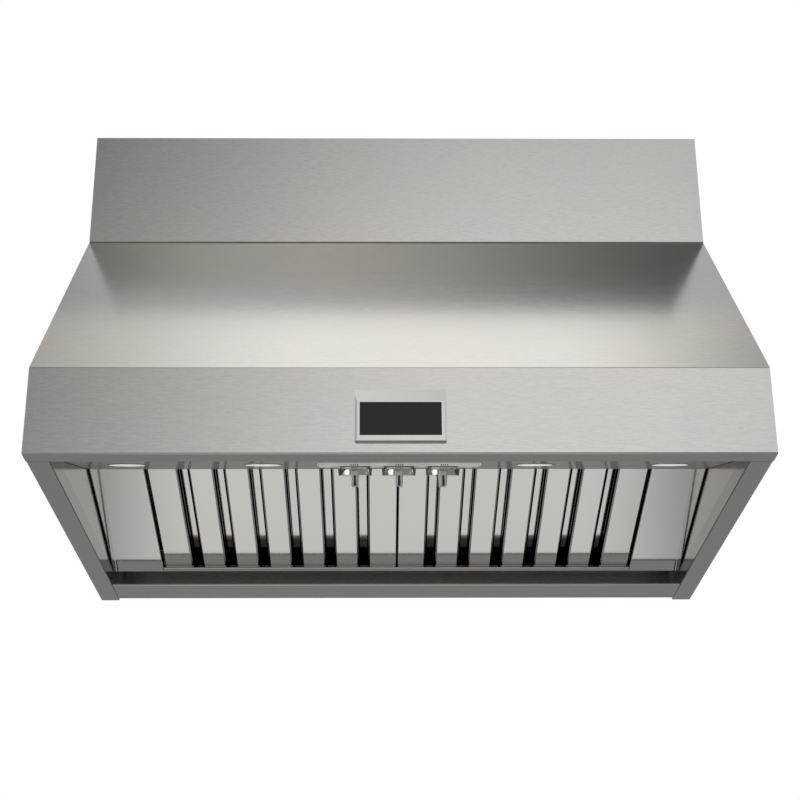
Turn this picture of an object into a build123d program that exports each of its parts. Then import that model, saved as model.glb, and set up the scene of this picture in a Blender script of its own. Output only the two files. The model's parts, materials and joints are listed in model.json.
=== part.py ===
from build123d import *
import os
from math import acos, atan2, cos, degrees, hypot, radians, sin

# Chimney range hood for a wall, in millimetres. X runs to the right, Y towards the wall and Z up.
# The origin is the centre of the wall screw pattern, on the wall's face.

# Overall shape
width = 914.0
depth = 628.0
apron_height = 114.0
slope_run = 317.0
slope_rise = 345.0
chimney_height = 181.0
rim_to_origin = 360.0

# Sheet metal
sheet = 1.2
bend = 2.0
fit_gap = 0.15
seam_gap = 2.2
chimney_tab = 18.0
wall_gap = 11.2
back_flange = 15.0
top_flange = 16.0

# Bottom rim and the canopy's inside
side_rim = 28.5
front_rim = 28.0
side_return = 24.0
panel_lift = 7.0
panel_run = 261.0
panel_rise = 82.0
panel_hook = 10.0
filter_fall = 66.0
liner_arch = 44.0
trough_depth = 68.3
trough_lip = 3.5
trough_back = 45.0
trough_gap = 0.7
ledge_over = 4.5

# Wall rails
rail_edge = 55.8
rail_crown = 40.0
rail_foot = 14.0
rail_sheet = 1.5
screw_across = 406.4
screw_up = 400.0
wall_hole = 4.0
access_hole = 8.0

# Baffle filters
slat_pitch = 50.0
slats_across = 7
slat_sheet = 0.8
slat_face = 30.0
slat_lip_run = 4.3
slat_lip_rise = 3.8
slat_depth = 9.0
filter_depth = 17.6
filter_seam = 2.6
filter_side_gap = 3.4
filter_seat = 5.5
filter_overlap = 14.0
filter_play = 0.3
end_flange = 8.0
ledge_depth = 9.5
ledge_lip = 5.2
ledge_wall = 38.0
ledge_foot = 12.0
filler_flange = 12.0

# Control plate, knobs and rotary switches
plate_width = 213.0
plate_length = 91.0
plate_thickness = 1.0
plate_middle = 170.4
knob_spacing = 58.5
knob_place = 189.7
knob_ring_radius = 20.0
knob_ring_height = 1.8
knob_radius = 23.0
knob_height = 10.5
knob_edge = 0.8
grip_width = 9.5
grip_length = 40.0
grip_height = 15.0
grip_flare = 2.2
knob_gap = 0.4
shaft_radius = 3.0
bush_radius = 5.0
hole_play = 0.1
switch_size = 28.0
switch_height = 18.0

# Lamps
lamp_edge = 68.0
lamp_place = 174.0
lamp_rim_radius = 26.5
lamp_rim_height = 0.5
lamp_can_radius = 25.0
lamp_can_height = 22.0
lamp_wall = 1.0
lens_radius = 23.5
lens_thickness = 2.6
lens_proud = 0.1

# Badge on the apron
badge_width = 111.5
badge_bottom = 15.0
badge_face = 52.1
badge_top = 84.1
badge_proud = 5.5
badge_chamfer = 2.4
badge_wall = 2.5
inset_width = 99.8
inset_height = 43.5
inset_rise = 6.9
inset_thickness = 1.2
inset_sink = 0.5

# Blower
blower_z = 80.0
wheel_gap = 10.0
wheel_width = 80.0
blade_depth = 14.0
wheel_ring = 3.0
blade_count = 32
blade_sheet = 0.9
blade_pitch = 25.0
hub_radius = 15.0
hub_length = 26.0
axle_radius = 6.0
axle_play = 0.05
axle_overhang = 8.0
axle_chamfer = 1.0
scroll_front_gap = 50.8
scroll_back_gap = 24.6
scroll_step = 8.0
scroll_tongue = 65.0
scroll_sheet = 1.0
scroll_width = 100.0
scroll_spacing = 110.0
scroll_outlet = 120.0
scroll_inlet_cover = 4.0
scroll_inlet_lip = 6.0
scroll_flange = 11.0
motor_radius = 54.0
motor_length = 84.0
motor_cap_radius = 30.0
motor_cap_length = 7.0
motor_foot_width = 60.0
motor_foot_length = 16.0
motor_drop = 70.0
motor_edge = 4.0
bracket_sheet = 2.0
bracket_width = 100.0
bracket_reach = 225.0
bracket_foot = 50.0
bracket_nose = 20.0
bracket_screw_across = 60.0
bracket_screw_up = 20.0

# Outlet box, duct collar and damper
box_front_gap = 47.8
box_back_gap = 13.6
box_half_width = 172.0
box_flange = 12.0
duct_shift = 11.7
duct_radius = 101.5
duct_sheet = 1.0
duct_height = 34.0
duct_flange = 16.5
duct_play = 1.0
damper_lift = 14.0
damper_sheet = 0.8
damper_play = 1.0
damper_notch = 4.2
damper_seat = 4.0
damper_drop = 0.7
pin_radius = 2.5
pin_play = 0.05
knuckle_radius = 3.6
knuckle_length = 36.0
knuckle_gap = 0.6
knuckle_count = 5

# Electrics on the back panel
wiring_edge = 125.8
wiring_z = 100.0
wiring_size = (110.0, 46.0, 80.0)
wiring_sheet = 1.0
inlet_radius = 11.0
driver_edge = 125.8
driver_z = 100.0
driver_size = (120.0, 26.0, 44.0)
capacitor_edge = 230.8
capacitor_z = 60.0
capacitor_radius = 17.5
capacitor_length = 62.0
strap_sheet = 1.0
strap_width = 20.0
strap_ear = 17.0

# Screws
screw_radius = 2.4
screw_play = 0.1
screw_length = 9.0
screw_head_radius = 4.6
screw_head_height = 2.6
screw_head_top = 3.6

# Levels and planes that follow from the sizes above
rim_z = -rim_to_origin
apron_z = rim_z + apron_height
slope_z = apron_z + slope_rise
top_z = slope_z + chimney_height
apron_y = -depth
chimney_y = apron_y + slope_run
back_y = -wall_gap
back_in = back_y - sheet
side_out = width / 2
side_in = side_out - sheet
rim_in = side_out - side_rim
slope_angle = atan2(slope_rise, slope_run)
panel_y = apron_y + front_rim
panel_z = rim_z + panel_lift
panel_angle = atan2(panel_rise, panel_run)
filter_y = panel_y + panel_run
filter_z = panel_z + panel_rise
filter_run = back_y - trough_depth + ledge_over - filter_y
filter_angle = atan2(filter_fall, filter_run)
filter_slope = hypot(filter_run, filter_fall)
filter_module = slat_pitch * slats_across
filter_width = filter_module - filter_seam
filler_in = filter_module - filter_seam / 2 + filter_side_gap
filter_back = filter_slope - sheet - filter_play
filter_length = filter_back + filter_overlap
lamp_spacing = (rim_in - lamp_edge) / 2
rail_length = 2 * (side_in - rail_edge)
scroll_front = chimney_y + sheet + scroll_front_gap + scroll_sheet
scroll_back = back_in - scroll_back_gap - scroll_sheet
scroll_inner = (scroll_back - scroll_front - 5 * scroll_step) / 2
blower_y = scroll_back - scroll_inner - 4 * scroll_step
wheel_radius = scroll_inner - wheel_gap
wheel_bore_radius = wheel_radius - blade_depth
scroll_inlet = wheel_bore_radius - scroll_inlet_cover
scroll_top = blower_z + scroll_outlet
throat_near = scroll_inner * cos(radians(scroll_tongue))
throat_far = scroll_inner + 4 * scroll_step
outlet_middle = blower_y + (throat_near + throat_far) / 2
outlet_length = throat_far - throat_near
outlet_width = scroll_width - 2 * scroll_sheet
scroll_places = {"left": -scroll_spacing, "right": scroll_spacing}
shelf_top = blower_z - motor_drop
box_front = chimney_y + sheet + box_front_gap
box_back = back_in - box_back_gap
box_middle = (box_front + box_back) / 2
box_length = box_back - box_front
box_ceiling = top_z - sheet
duct_y = (chimney_y + back_in) / 2 + duct_shift
wiring_x = wiring_edge - side_in
driver_x = side_in - driver_edge
capacitor_x = side_in - capacitor_edge
pin_z = top_z + damper_lift

os.makedirs("parts", exist_ok=True)


def on_filter(along, above):
    """Point (y, z) on the filters' slope: along it from the lamp panel's edge, and square above it."""
    y = filter_y + along * cos(filter_angle) + above * sin(filter_angle)
    z = filter_z - along * sin(filter_angle) + above * cos(filter_angle)
    return y, z


def on_panel(along, below):
    """Point (y, z) at the lamp panel: along it from its front edge, and square below its face."""
    y = panel_y + along * cos(panel_angle) + below * sin(panel_angle)
    z = panel_z + along * sin(panel_angle) - below * cos(panel_angle)
    return y, z


def across_filter(along, x=0.0):
    """Plane square to the filters' slope, with X across and Y away from the room."""
    uphill = (0, -cos(filter_angle), sin(filter_angle))
    return Plane(origin=(x, *on_filter(along, 0)), x_dir=(1, 0, 0), z_dir=uphill)


def under_panel(x, along, below):
    """Plane parallel to the lamp panel, with Z out of its visible face."""
    outward = (0, sin(panel_angle), -cos(panel_angle))
    return Plane(origin=(x, *on_panel(along, below)), x_dir=(1, 0, 0), z_dir=outward)


def corners(across, along, middle=(0.0, 0.0)):
    """The four corner points of a rectangle around its middle."""
    return [(middle[0] + i * across / 2, middle[1] + j * along / 2) for i in (-1, 1) for j in (-1, 1)]


def folded(points, side=Side.LEFT, thickness=sheet, radius=bend):
    """Section of a folded sheet in the sketch at hand: its skin line, thickened to one side."""
    with BuildLine() as run:
        FilletPolyline(*points, radius=radius)
        offset(amount=thickness, side=side)
    make_face(run.edges())


def save(piece, name):
    """Label a finished piece and write its file."""
    piece.part.label = name
    export_step(piece.part, f"parts/{name}.step")


# Places of the screws inside the cabinet
box_spots = corners(2 * box_half_width + box_flange, box_length - box_flange, (0, box_middle))
bracket_spots = corners(bracket_screw_across, bracket_screw_up, (0, shelf_top - bracket_foot / 2))
spots_across = scroll_width + scroll_flange
spots_along = outlet_length + 2 * scroll_sheet + scroll_flange
flange_spots = {}
for name, x in scroll_places.items():
    flange_spots[name] = corners(spots_across, spots_along, (x, outlet_middle))

# Outer shell
skin_top_y = chimney_y + sheet
skin_top_z = slope_z + sheet * slope_rise / slope_run
skin_flange = top_flange
with BuildPart() as front_skin:
    with BuildSketch(Plane.YZ.offset(-side_out)):
        folded(
            [
                (panel_y, panel_z),
                (panel_y, rim_z),
                (apron_y, rim_z),
                (apron_y, apron_z),
                (skin_top_y, skin_top_z),
                (skin_top_y, skin_top_z + skin_flange),
            ],
            Side.RIGHT,
        )
    extrude(amount=width)
    # The two upturned edges stop short of the side panels
    for x in (-side_out, side_out):
        with Locations((x, panel_y, rim_z + sheet + fit_gap)):
            Box(2 * side_rim, 4 * sheet, 2 * panel_lift, align=(Align.CENTER, Align.CENTER, Align.MIN),
                mode=Mode.SUBTRACT)
        with Locations((x, skin_top_y, skin_top_z - 2 * sheet)):
            Box(2 * (sheet + fit_gap), 6 * sheet, 3 * skin_flange,
                align=(Align.CENTER, Align.MIN, Align.MIN), mode=Mode.SUBTRACT)
save(front_skin, "front_skin")

with BuildPart() as chimney_front:
    with BuildSketch(Plane.XZ.offset(-chimney_y)):
        with Locations((0, (slope_z + seam_gap + top_z) / 2)):
            Rectangle(width, top_z - slope_z - seam_gap)
    extrude(amount=-sheet)
    tab_low = skin_top_z + skin_flange + seam_gap
    tab_high = top_z - top_flange - seam_gap
    for x in (-side_in + sheet / 2, side_in - sheet / 2):
        with Locations((x, chimney_y, (tab_low + tab_high) / 2)):
            Box(sheet, sheet + chimney_tab, tab_high - tab_low, align=(Align.CENTER, Align.MIN, Align.CENTER))
save(chimney_front, "chimney_front")

# The side panel fits inside the front sheets, so its front edge is drawn in by their thickness
inset = sheet + fit_gap
inset_drop = inset * (1 - sin(slope_angle)) / cos(slope_angle)
with BuildPart() as side_panel_left:
    with BuildSketch(Plane.YZ.offset(-side_out)):
        with BuildLine():
            Polyline(
                (0, rim_z + bend),
                (apron_y + inset + sheet, rim_z + inset),
                (apron_y + inset, rim_z + inset + sheet),
                (apron_y + inset, apron_z - inset_drop),
                (chimney_y + inset, slope_z - inset_drop),
                (chimney_y + inset, top_z),
                (0, top_z),
                close=True,
            )
        make_face()
    extrude(amount=sheet)
    with BuildSketch(Plane.XZ):
        folded(
            [
                (-side_out, rim_z + side_return),
                (-side_out, rim_z),
                (-rim_in, rim_z),
                (-rim_in, rim_z + side_return),
            ]
        )
    extrude(amount=depth - front_rim - fit_gap)
save(side_panel_left, "side_panel_left")

with BuildPart() as side_panel_right:
    mirror(side_panel_left.part, about=Plane.YZ)
save(side_panel_right, "side_panel_right")

wall_holes = GridLocations(screw_across, screw_up, 2, 2)
with BuildPart() as back_panel:
    with BuildSketch(Plane.XY.offset(rim_z)):
        folded(
            [
                (-side_in, back_y - back_flange),
                (-side_in, back_y),
                (side_in, back_y),
                (side_in, back_y - back_flange),
            ],
            Side.RIGHT,
        )
    extrude(amount=top_z - rim_z)
    for x in (-side_out, side_out):
        with Locations((x, 0, rim_z)):
            Box(2 * side_rim + 2 * fit_gap, depth, 2 * (side_return + fit_gap), mode=Mode.SUBTRACT)
    with Locations((0, back_in, top_z)):
        Box(width, 2 * back_flange, 2 * sheet + 2 * fit_gap, align=(Align.CENTER, Align.MAX, Align.CENTER),
            mode=Mode.SUBTRACT)
    with BuildSketch(Plane.XZ):
        with wall_holes:
            Circle(access_hole)
    extrude(amount=2 * wall_gap, mode=Mode.SUBTRACT)
    with BuildSketch(Plane.XZ):
        with Locations((wiring_x, wiring_z)):
            Circle(inlet_radius)
        with Locations(*bracket_spots):
            Circle(screw_radius + screw_play)
    extrude(amount=2 * wall_gap, mode=Mode.SUBTRACT)
save(back_panel, "back_panel")

with BuildPart() as top_panel:
    with BuildSketch(Plane.XZ.offset(-back_in + back_flange)):
        folded(
            [
                (-side_in, top_z - top_flange),
                (-side_in, top_z),
                (side_in, top_z),
                (side_in, top_z - top_flange),
            ],
            Side.RIGHT,
        )
    extrude(amount=back_in - back_flange - chimney_y - sheet)
    with Locations((0, back_in, top_z)):
        Box(2 * side_in, 2 * back_flange, sheet, align=(Align.CENTER, Align.MAX, Align.MAX))
    with Locations((0, duct_y, top_z)):
        Cylinder(duct_radius + duct_play, 4 * sheet, mode=Mode.SUBTRACT)
    with BuildSketch(Plane.XY.offset(top_z)):
        with Locations(*box_spots):
            Circle(screw_radius + screw_play)
    extrude(amount=-2 * sheet, mode=Mode.SUBTRACT)
save(top_panel, "top_panel")

for name, middle in (("wall_rail_lower", -screw_up / 2), ("wall_rail_upper", screw_up / 2)):
    with BuildPart() as wall_rail:
        foot_edge = rail_crown / 2 + rail_foot
        crown_y = -rail_sheet
        with BuildSketch(Plane.YZ.offset(-rail_length / 2)):
            folded(
                [
                    (back_y, middle - foot_edge),
                    (back_y, middle - rail_crown / 2),
                    (crown_y, middle - rail_crown / 2),
                    (crown_y, middle + rail_crown / 2),
                    (back_y, middle + rail_crown / 2),
                    (back_y, middle + foot_edge),
                ],
                Side.RIGHT,
                rail_sheet,
            )
        extrude(amount=rail_length)
        with BuildSketch(Plane.XZ):
            with Locations((0, middle)):
                with GridLocations(screw_across, 0, 2, 1):
                    Circle(wall_hole)
        extrude(amount=2 * rail_sheet, mode=Mode.SUBTRACT)
    save(wall_rail, name)

# Canopy's inside
liner_x = rim_in + sheet
with BuildPart() as liner_side_left:
    with BuildSketch(Plane.YZ.offset(-liner_x)):
        with BuildLine():
            Polyline(
                (back_in - fit_gap, rim_z + bend + fit_gap),
                (panel_y - fit_gap, rim_z + bend + fit_gap),
                (panel_y - fit_gap, panel_z + liner_arch),
                (filter_y, filter_z + liner_arch),
                (back_in - fit_gap, rim_z + 2 * liner_arch),
                close=True,
            )
        make_face()
    extrude(amount=-sheet)
save(liner_side_left, "liner_side_left")

with BuildPart() as liner_side_right:
    mirror(liner_side_left.part, about=Plane.YZ)
save(liner_side_right, "liner_side_right")

lamp_places = [-2 * lamp_spacing, -lamp_spacing, lamp_spacing, 2 * lamp_spacing]
knob_places = {"left": -knob_spacing, "centre": 0.0, "right": knob_spacing}
panel_half = rim_in - fit_gap
with BuildPart() as lamp_panel:
    with BuildSketch(Plane.YZ.offset(-panel_half)):
        folded(
            [
                (panel_y - panel_hook, panel_z),
                (panel_y, panel_z),
                (filter_y, filter_z),
                on_filter(0, ledge_lip),
            ]
        )
    extrude(amount=2 * panel_half)
    for x in lamp_places:
        with BuildSketch(under_panel(x, lamp_place, 0)):
            Circle(lamp_can_radius + hole_play)
        extrude(amount=-3 * sheet, mode=Mode.SUBTRACT)
    for x in knob_places.values():
        with BuildSketch(under_panel(x, knob_place, 0)):
            Circle(bush_radius + hole_play)
        extrude(amount=-3 * sheet, mode=Mode.SUBTRACT)
save(lamp_panel, "lamp_panel")

with BuildPart() as filler_left:
    with BuildSketch(across_filter(0)):
        folded(
            [
                (-panel_half, filler_flange),
                (-panel_half, 0),
                (-filler_in, 0),
                (-filler_in, filler_flange),
            ]
        )
    extrude(amount=sheet - filter_slope)
save(filler_left, "filler_left")

with BuildPart() as filler_right:
    mirror(filler_left.part, about=Plane.YZ)
save(filler_right, "filler_right")

# The ledge that carries the filters' rear ends, open towards the trough below
ledge_half = filler_in - 4 * fit_gap
shelf_z = on_filter(filter_slope, ledge_wall)[1]
ledge_top = [
    on_filter(filter_slope, ledge_wall),
    (back_in, shelf_z),
    (back_in, shelf_z + ledge_foot),
]
with BuildPart() as filter_ledge:
    with BuildSketch(Plane.YZ.offset(-ledge_half)):
        folded(
            [
                on_filter(filter_slope - ledge_depth, ledge_lip),
                on_filter(filter_slope - ledge_depth, 0),
                on_filter(filter_slope, 0),
                *ledge_top,
            ]
        )
    extrude(amount=2 * ledge_half)
    with BuildSketch(Plane.YZ.offset(-panel_half)):
        folded([on_filter(filter_slope, bend), *ledge_top])
    extrude(amount=2 * panel_half)
save(filter_ledge, "filter_ledge")

trough_half = rim_in - trough_gap
with BuildPart() as grease_trough:
    with BuildSketch(Plane.YZ.offset(-trough_half)):
        folded(
            [
                (back_y - trough_depth, rim_z + trough_lip),
                (back_y - trough_depth, rim_z),
                (back_in, rim_z),
                (back_in, rim_z + trough_back),
            ]
        )
    extrude(amount=2 * trough_half)
save(grease_trough, "grease_trough")

# Badge, with a blank inset
with BuildPart() as badge_frame:
    with BuildSketch(Plane.YZ.offset(-badge_width / 2)):
        with BuildLine():
            Polyline(
                (apron_y, rim_z + badge_bottom),
                (apron_y - badge_proud, rim_z + badge_bottom),
                (apron_y - badge_proud, rim_z + badge_bottom + badge_face),
                (apron_y, rim_z + badge_top),
                close=True,
            )
        make_face()
    extrude(amount=badge_width)
    front_edges = badge_frame.edges().filter_by(Axis.Z).group_by(Axis.Y)[0]
    chamfer(front_edges, length=badge_chamfer)
    with BuildSketch(Plane.XZ.offset(-apron_y)):
        with Locations((0, rim_z + badge_bottom + badge_face / 2)):
            Rectangle(badge_width - 4 * badge_wall, badge_face - 2 * badge_wall)
    extrude(amount=badge_proud - inset_thickness - inset_sink - badge_wall, mode=Mode.SUBTRACT)
    inset_z = rim_z + badge_bottom + inset_rise + inset_height / 2
    with BuildSketch(Plane.XZ.offset(-apron_y + badge_proud)):
        with Locations((0, inset_z)):
            Rectangle(inset_width, inset_height)
    extrude(amount=-inset_thickness - inset_sink, mode=Mode.SUBTRACT)
save(badge_frame, "badge_frame")

with BuildPart() as badge_inset:
    with BuildSketch(Plane.XZ.offset(-apron_y + badge_proud - inset_sink)):
        with Locations((0, inset_z)):
            Rectangle(inset_width, inset_height)
    extrude(amount=-inset_thickness)
save(badge_inset, "badge_inset")

# Control plate, and for each knob a standoff ring, the knob, its shaft and its rotary switch
with BuildPart() as control_plate:
    with BuildSketch(under_panel(0, plate_middle, 0)):
        RectangleRounded(plate_width, plate_length, plate_thickness)
    extrude(amount=plate_thickness)
    for x in knob_places.values():
        with BuildSketch(under_panel(x, knob_place, 0)):
            Circle(bush_radius + hole_play)
        extrude(amount=plate_thickness, mode=Mode.SUBTRACT)
save(control_plate, "control_plate")

ring_top = plate_thickness + knob_ring_height
knob_base = ring_top + knob_gap
for name, x in knob_places.items():
    with BuildPart() as knob_ring:
        with BuildSketch(under_panel(x, knob_place, plate_thickness)):
            Circle(knob_ring_radius)
            Circle(bush_radius + hole_play, mode=Mode.SUBTRACT)
        extrude(amount=knob_ring_height)
    save(knob_ring, f"knob_ring_{name}")

    with BuildPart() as rotary_switch:
        with BuildSketch(under_panel(x, knob_place, -sheet)):
            RectangleRounded(switch_size, switch_size, bend)
        extrude(amount=-switch_height)
        with BuildSketch(under_panel(x, knob_place, -sheet)):
            Circle(bush_radius)
        extrude(amount=sheet + ring_top)
        with BuildSketch(under_panel(x, knob_place, ring_top)):
            Circle(shaft_radius + axle_play)
        extrude(amount=-ring_top - sheet - switch_height / 2, mode=Mode.SUBTRACT)
    save(rotary_switch, f"rotary_switch_{name}")

    shaft_low = -sheet - switch_height / 2 + knob_gap
    shaft_high = knob_base + knob_height
    with BuildPart() as switch_shaft:
        with BuildSketch(under_panel(x, knob_place, shaft_low)):
            Circle(shaft_radius)
        extrude(amount=shaft_high - shaft_low)
    save(switch_shaft, f"switch_shaft_{name}")

    with BuildPart() as knob:
        with BuildSketch(under_panel(x, knob_place, knob_base)):
            Circle(knob_radius)
        extrude(amount=knob_height)
        fillet(knob.edges().filter_by(GeomType.CIRCLE), radius=knob_edge)
        grip_base = knob_base + knob_height
        with BuildSketch(under_panel(x, knob_place, grip_base)):
            SlotOverall(grip_length + grip_flare, grip_width + grip_flare, rotation=90)
        with BuildSketch(under_panel(x, knob_place, grip_base + grip_flare)):
            SlotOverall(grip_length, grip_width, rotation=90)
        loft()
        with BuildSketch(under_panel(x, knob_place, grip_base + grip_flare)):
            SlotOverall(grip_length, grip_width, rotation=90)
        extrude(amount=grip_height - grip_flare)
        with BuildSketch(under_panel(x, knob_place, knob_base)):
            Circle(shaft_radius)
        extrude(amount=knob_height, mode=Mode.SUBTRACT)
    save(knob, f"knob_{name}")

# Lamps: a can with a rim below the panel, and a lens in the rim
for number, x in enumerate(lamp_places, start=1):
    with BuildPart() as lamp_housing:
        with BuildSketch(under_panel(x, lamp_place, 0)):
            Circle(lamp_can_radius)
        extrude(amount=-sheet - lamp_can_height)
        with BuildSketch(under_panel(x, lamp_place, 0)):
            Circle(lamp_rim_radius)
        extrude(amount=lamp_rim_height)
        with BuildSketch(under_panel(x, lamp_place, lamp_rim_height)):
            Circle(lens_radius)
        extrude(amount=lens_proud - lens_thickness, mode=Mode.SUBTRACT)
        with BuildSketch(under_panel(x, lamp_place, lamp_rim_height)):
            Circle(lens_radius - lamp_wall)
        extrude(amount=-sheet - lamp_can_height - lamp_rim_height + lamp_wall, mode=Mode.SUBTRACT)
    save(lamp_housing, f"lamp_housing_{number}")

    with BuildPart() as lamp_lens:
        with BuildSketch(under_panel(x, lamp_place, lamp_rim_height + lens_proud)):
            Circle(lens_radius)
        extrude(amount=-lens_thickness)
    save(lamp_lens, f"lamp_lens_{number}")


# Baffle filters
def slat_section(level, way):
    """Skin line of a slat at a level, with its two lips and edges turned up (way 1) or down (way -1)."""
    half = slat_face / 2
    wide = half + slat_lip_run
    return [
        (-wide, level + way * slat_depth),
        (-wide, level + way * slat_lip_rise),
        (-half, level),
        (half, level),
        (wide, level + way * slat_lip_rise),
        (wide, level + way * slat_depth),
    ]


slat_radius = slat_sheet * 1.2
slat_start = end_flange - filter_overlap
slat_length = filter_length - 2 * end_flange
upper_level = filter_seat + filter_depth - slat_sheet
lower_count = slats_across - 2
upper_count = slats_across - 1
for name, middle in (("left", -filter_module / 2), ("right", filter_module / 2)):
    with BuildPart() as filter_frame:
        edge = filter_width / 2
        face_end = (slats_across - 1) * slat_pitch / 2 - slat_face / 2
        lip_end = face_end - slat_lip_run
        for way in (-1, 1):
            with BuildSketch(across_filter(-filter_overlap, middle)):
                folded(
                    [
                        (way * (edge - end_flange), filter_seat + filter_depth),
                        (way * edge, filter_seat + filter_depth),
                        (way * edge, filter_seat),
                        (way * face_end, filter_seat),
                        (way * lip_end, filter_seat + slat_lip_rise),
                        (way * lip_end, filter_seat + slat_depth),
                    ],
                    Side.LEFT if way < 0 else Side.RIGHT,
                    slat_sheet,
                    slat_radius,
                )
            extrude(amount=-filter_length)
        # End channels, open towards the slats
        inner = edge - slat_sheet
        for start, web in ((-filter_overlap, -filter_overlap), (filter_back - end_flange, filter_back)):
            turn = slat_sheet if web < start + end_flange / 2 else -slat_sheet
            for level in (filter_seat, filter_seat + filter_depth - slat_sheet):
                with BuildSketch(across_filter(start, middle)):
                    with Locations((0, level)):
                        Rectangle(2 * inner, slat_sheet, align=(Align.CENTER, Align.MIN))
                extrude(amount=-end_flange)
            with BuildSketch(across_filter(web, middle)):
                with Locations((0, filter_seat)):
                    Rectangle(2 * inner, filter_depth, align=(Align.CENTER, Align.MIN))
            extrude(amount=-turn)
    save(filter_frame, f"filter_frame_{name}")

    with BuildPart() as lower_slats:
        for index in range(lower_count):
            x = middle + (index - (lower_count - 1) / 2) * slat_pitch
            with BuildSketch(across_filter(slat_start, x)):
                folded(slat_section(filter_seat, 1), Side.LEFT, slat_sheet, slat_radius)
            extrude(amount=-slat_length)
    save(lower_slats, f"filter_lower_slats_{name}")

    with BuildPart() as upper_slats:
        for index in range(upper_count):
            x = middle + (index - (upper_count - 1) / 2) * slat_pitch
            with BuildSketch(across_filter(slat_start, x)):
                folded(slat_section(upper_level, -1), Side.RIGHT, slat_sheet, slat_radius)
            extrude(amount=-slat_length)
    save(upper_slats, f"filter_upper_slats_{name}")


# Blower: two scrolls with a wheel each, on one axle through the motor between them
def scroll_outline(grow, outlet=scroll_outlet):
    """Outline of the scroll around the axle, larger by a wall, with its outlet upwards at the rear."""
    near = throat_near - grow
    far = throat_far + grow
    radius = scroll_inner + grow
    first = degrees(acos(near / radius))
    with BuildLine() as outline:
        Line((near, outlet), (near, radius * sin(radians(first))))
        CenterArc((0, 0), radius, first, 90 - first)
        CenterArc((0, -scroll_step), radius + scroll_step, 90, 90)
        CenterArc((scroll_step, -scroll_step), radius + 2 * scroll_step, 180, 90)
        CenterArc((scroll_step, 0), radius + 3 * scroll_step, 270, 90)
        Line((far, 0), (far, outlet))
        Line((far, outlet), (near, outlet))
    make_face(outline.edges())


def across_axle(x):
    """Plane square to the blower's axle, with its origin on it and X towards the wall."""
    return Plane(origin=(x, blower_y, blower_z), x_dir=(0, 1, 0), z_dir=(1, 0, 0))


# Each housing is a wrap with the outlet's flange, and a plate on both sides of it with an inlet ring
plate_top = scroll_outlet - scroll_sheet - fit_gap
lip_length = scroll_sheet + scroll_inlet_lip
for name, middle in scroll_places.items():
    scroll_start = middle - scroll_width / 2
    scroll_end = middle + scroll_width / 2
    wrap_edge = scroll_sheet + fit_gap
    with BuildPart() as scroll_housing:
        with BuildSketch(across_axle(scroll_start + wrap_edge)):
            scroll_outline(scroll_sheet)
        extrude(amount=scroll_width - 2 * wrap_edge)
        with BuildSketch(Plane.XY.offset(scroll_top)):
            with Locations((middle, outlet_middle)):
                Rectangle(
                    scroll_width + 2 * scroll_flange,
                    outlet_length + 2 * scroll_sheet + 2 * scroll_flange,
                )
        extrude(amount=-scroll_sheet)
        with BuildSketch(across_axle(scroll_start + scroll_sheet)):
            scroll_outline(0)
        extrude(amount=outlet_width, mode=Mode.SUBTRACT)
        with BuildSketch(Plane.XY.offset(scroll_top)):
            with Locations(*flange_spots[name]):
                Circle(screw_radius + screw_play)
        extrude(amount=-scroll_sheet, mode=Mode.SUBTRACT)
        for plate, ring in (
            (scroll_start, scroll_start),
            (scroll_end - scroll_sheet, scroll_end - lip_length),
        ):
            with BuildSketch(across_axle(plate)):
                scroll_outline(scroll_sheet, plate_top)
            extrude(amount=scroll_sheet)
            with BuildSketch(across_axle(ring)):
                Circle(scroll_inlet + scroll_sheet)
            extrude(amount=lip_length)
        with BuildSketch(across_axle(scroll_start)):
            Circle(scroll_inlet)
        extrude(amount=scroll_width, mode=Mode.SUBTRACT)
    save(scroll_housing, f"scroll_housing_{name}")

    wheel_start = middle - wheel_width / 2
    blade_length = wheel_radius - wheel_bore_radius - 2 * blade_sheet
    with BuildPart() as blower_wheel:
        with BuildSketch(across_axle(wheel_start)):
            with PolarLocations((wheel_radius + wheel_bore_radius) / 2, blade_count):
                Rectangle(blade_length, blade_sheet, rotation=blade_pitch)
        extrude(amount=wheel_width)
        for ring_start in (wheel_start, wheel_start + wheel_width - wheel_ring):
            with BuildSketch(across_axle(ring_start)):
                Circle(wheel_radius)
                Circle(wheel_bore_radius, mode=Mode.SUBTRACT)
            extrude(amount=wheel_ring)
        with BuildSketch(across_axle(middle)):
            Circle(wheel_radius)
        extrude(amount=wheel_ring / 2, both=True)
        with BuildSketch(across_axle(middle)):
            Circle(hub_radius)
        extrude(amount=hub_length / 2, both=True)
        with BuildSketch(across_axle(middle)):
            Circle(axle_radius)
        extrude(amount=hub_length, both=True, mode=Mode.SUBTRACT)
    save(blower_wheel, f"blower_wheel_{name}")

axle_half = scroll_spacing + hub_length / 2 + axle_overhang
with BuildPart() as motor_shaft:
    with BuildSketch(across_axle(0)):
        Circle(axle_radius)
    extrude(amount=axle_half, both=True)
    chamfer(motor_shaft.edges().filter_by(GeomType.CIRCLE), length=axle_chamfer)
save(motor_shaft, "motor_shaft")

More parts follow.
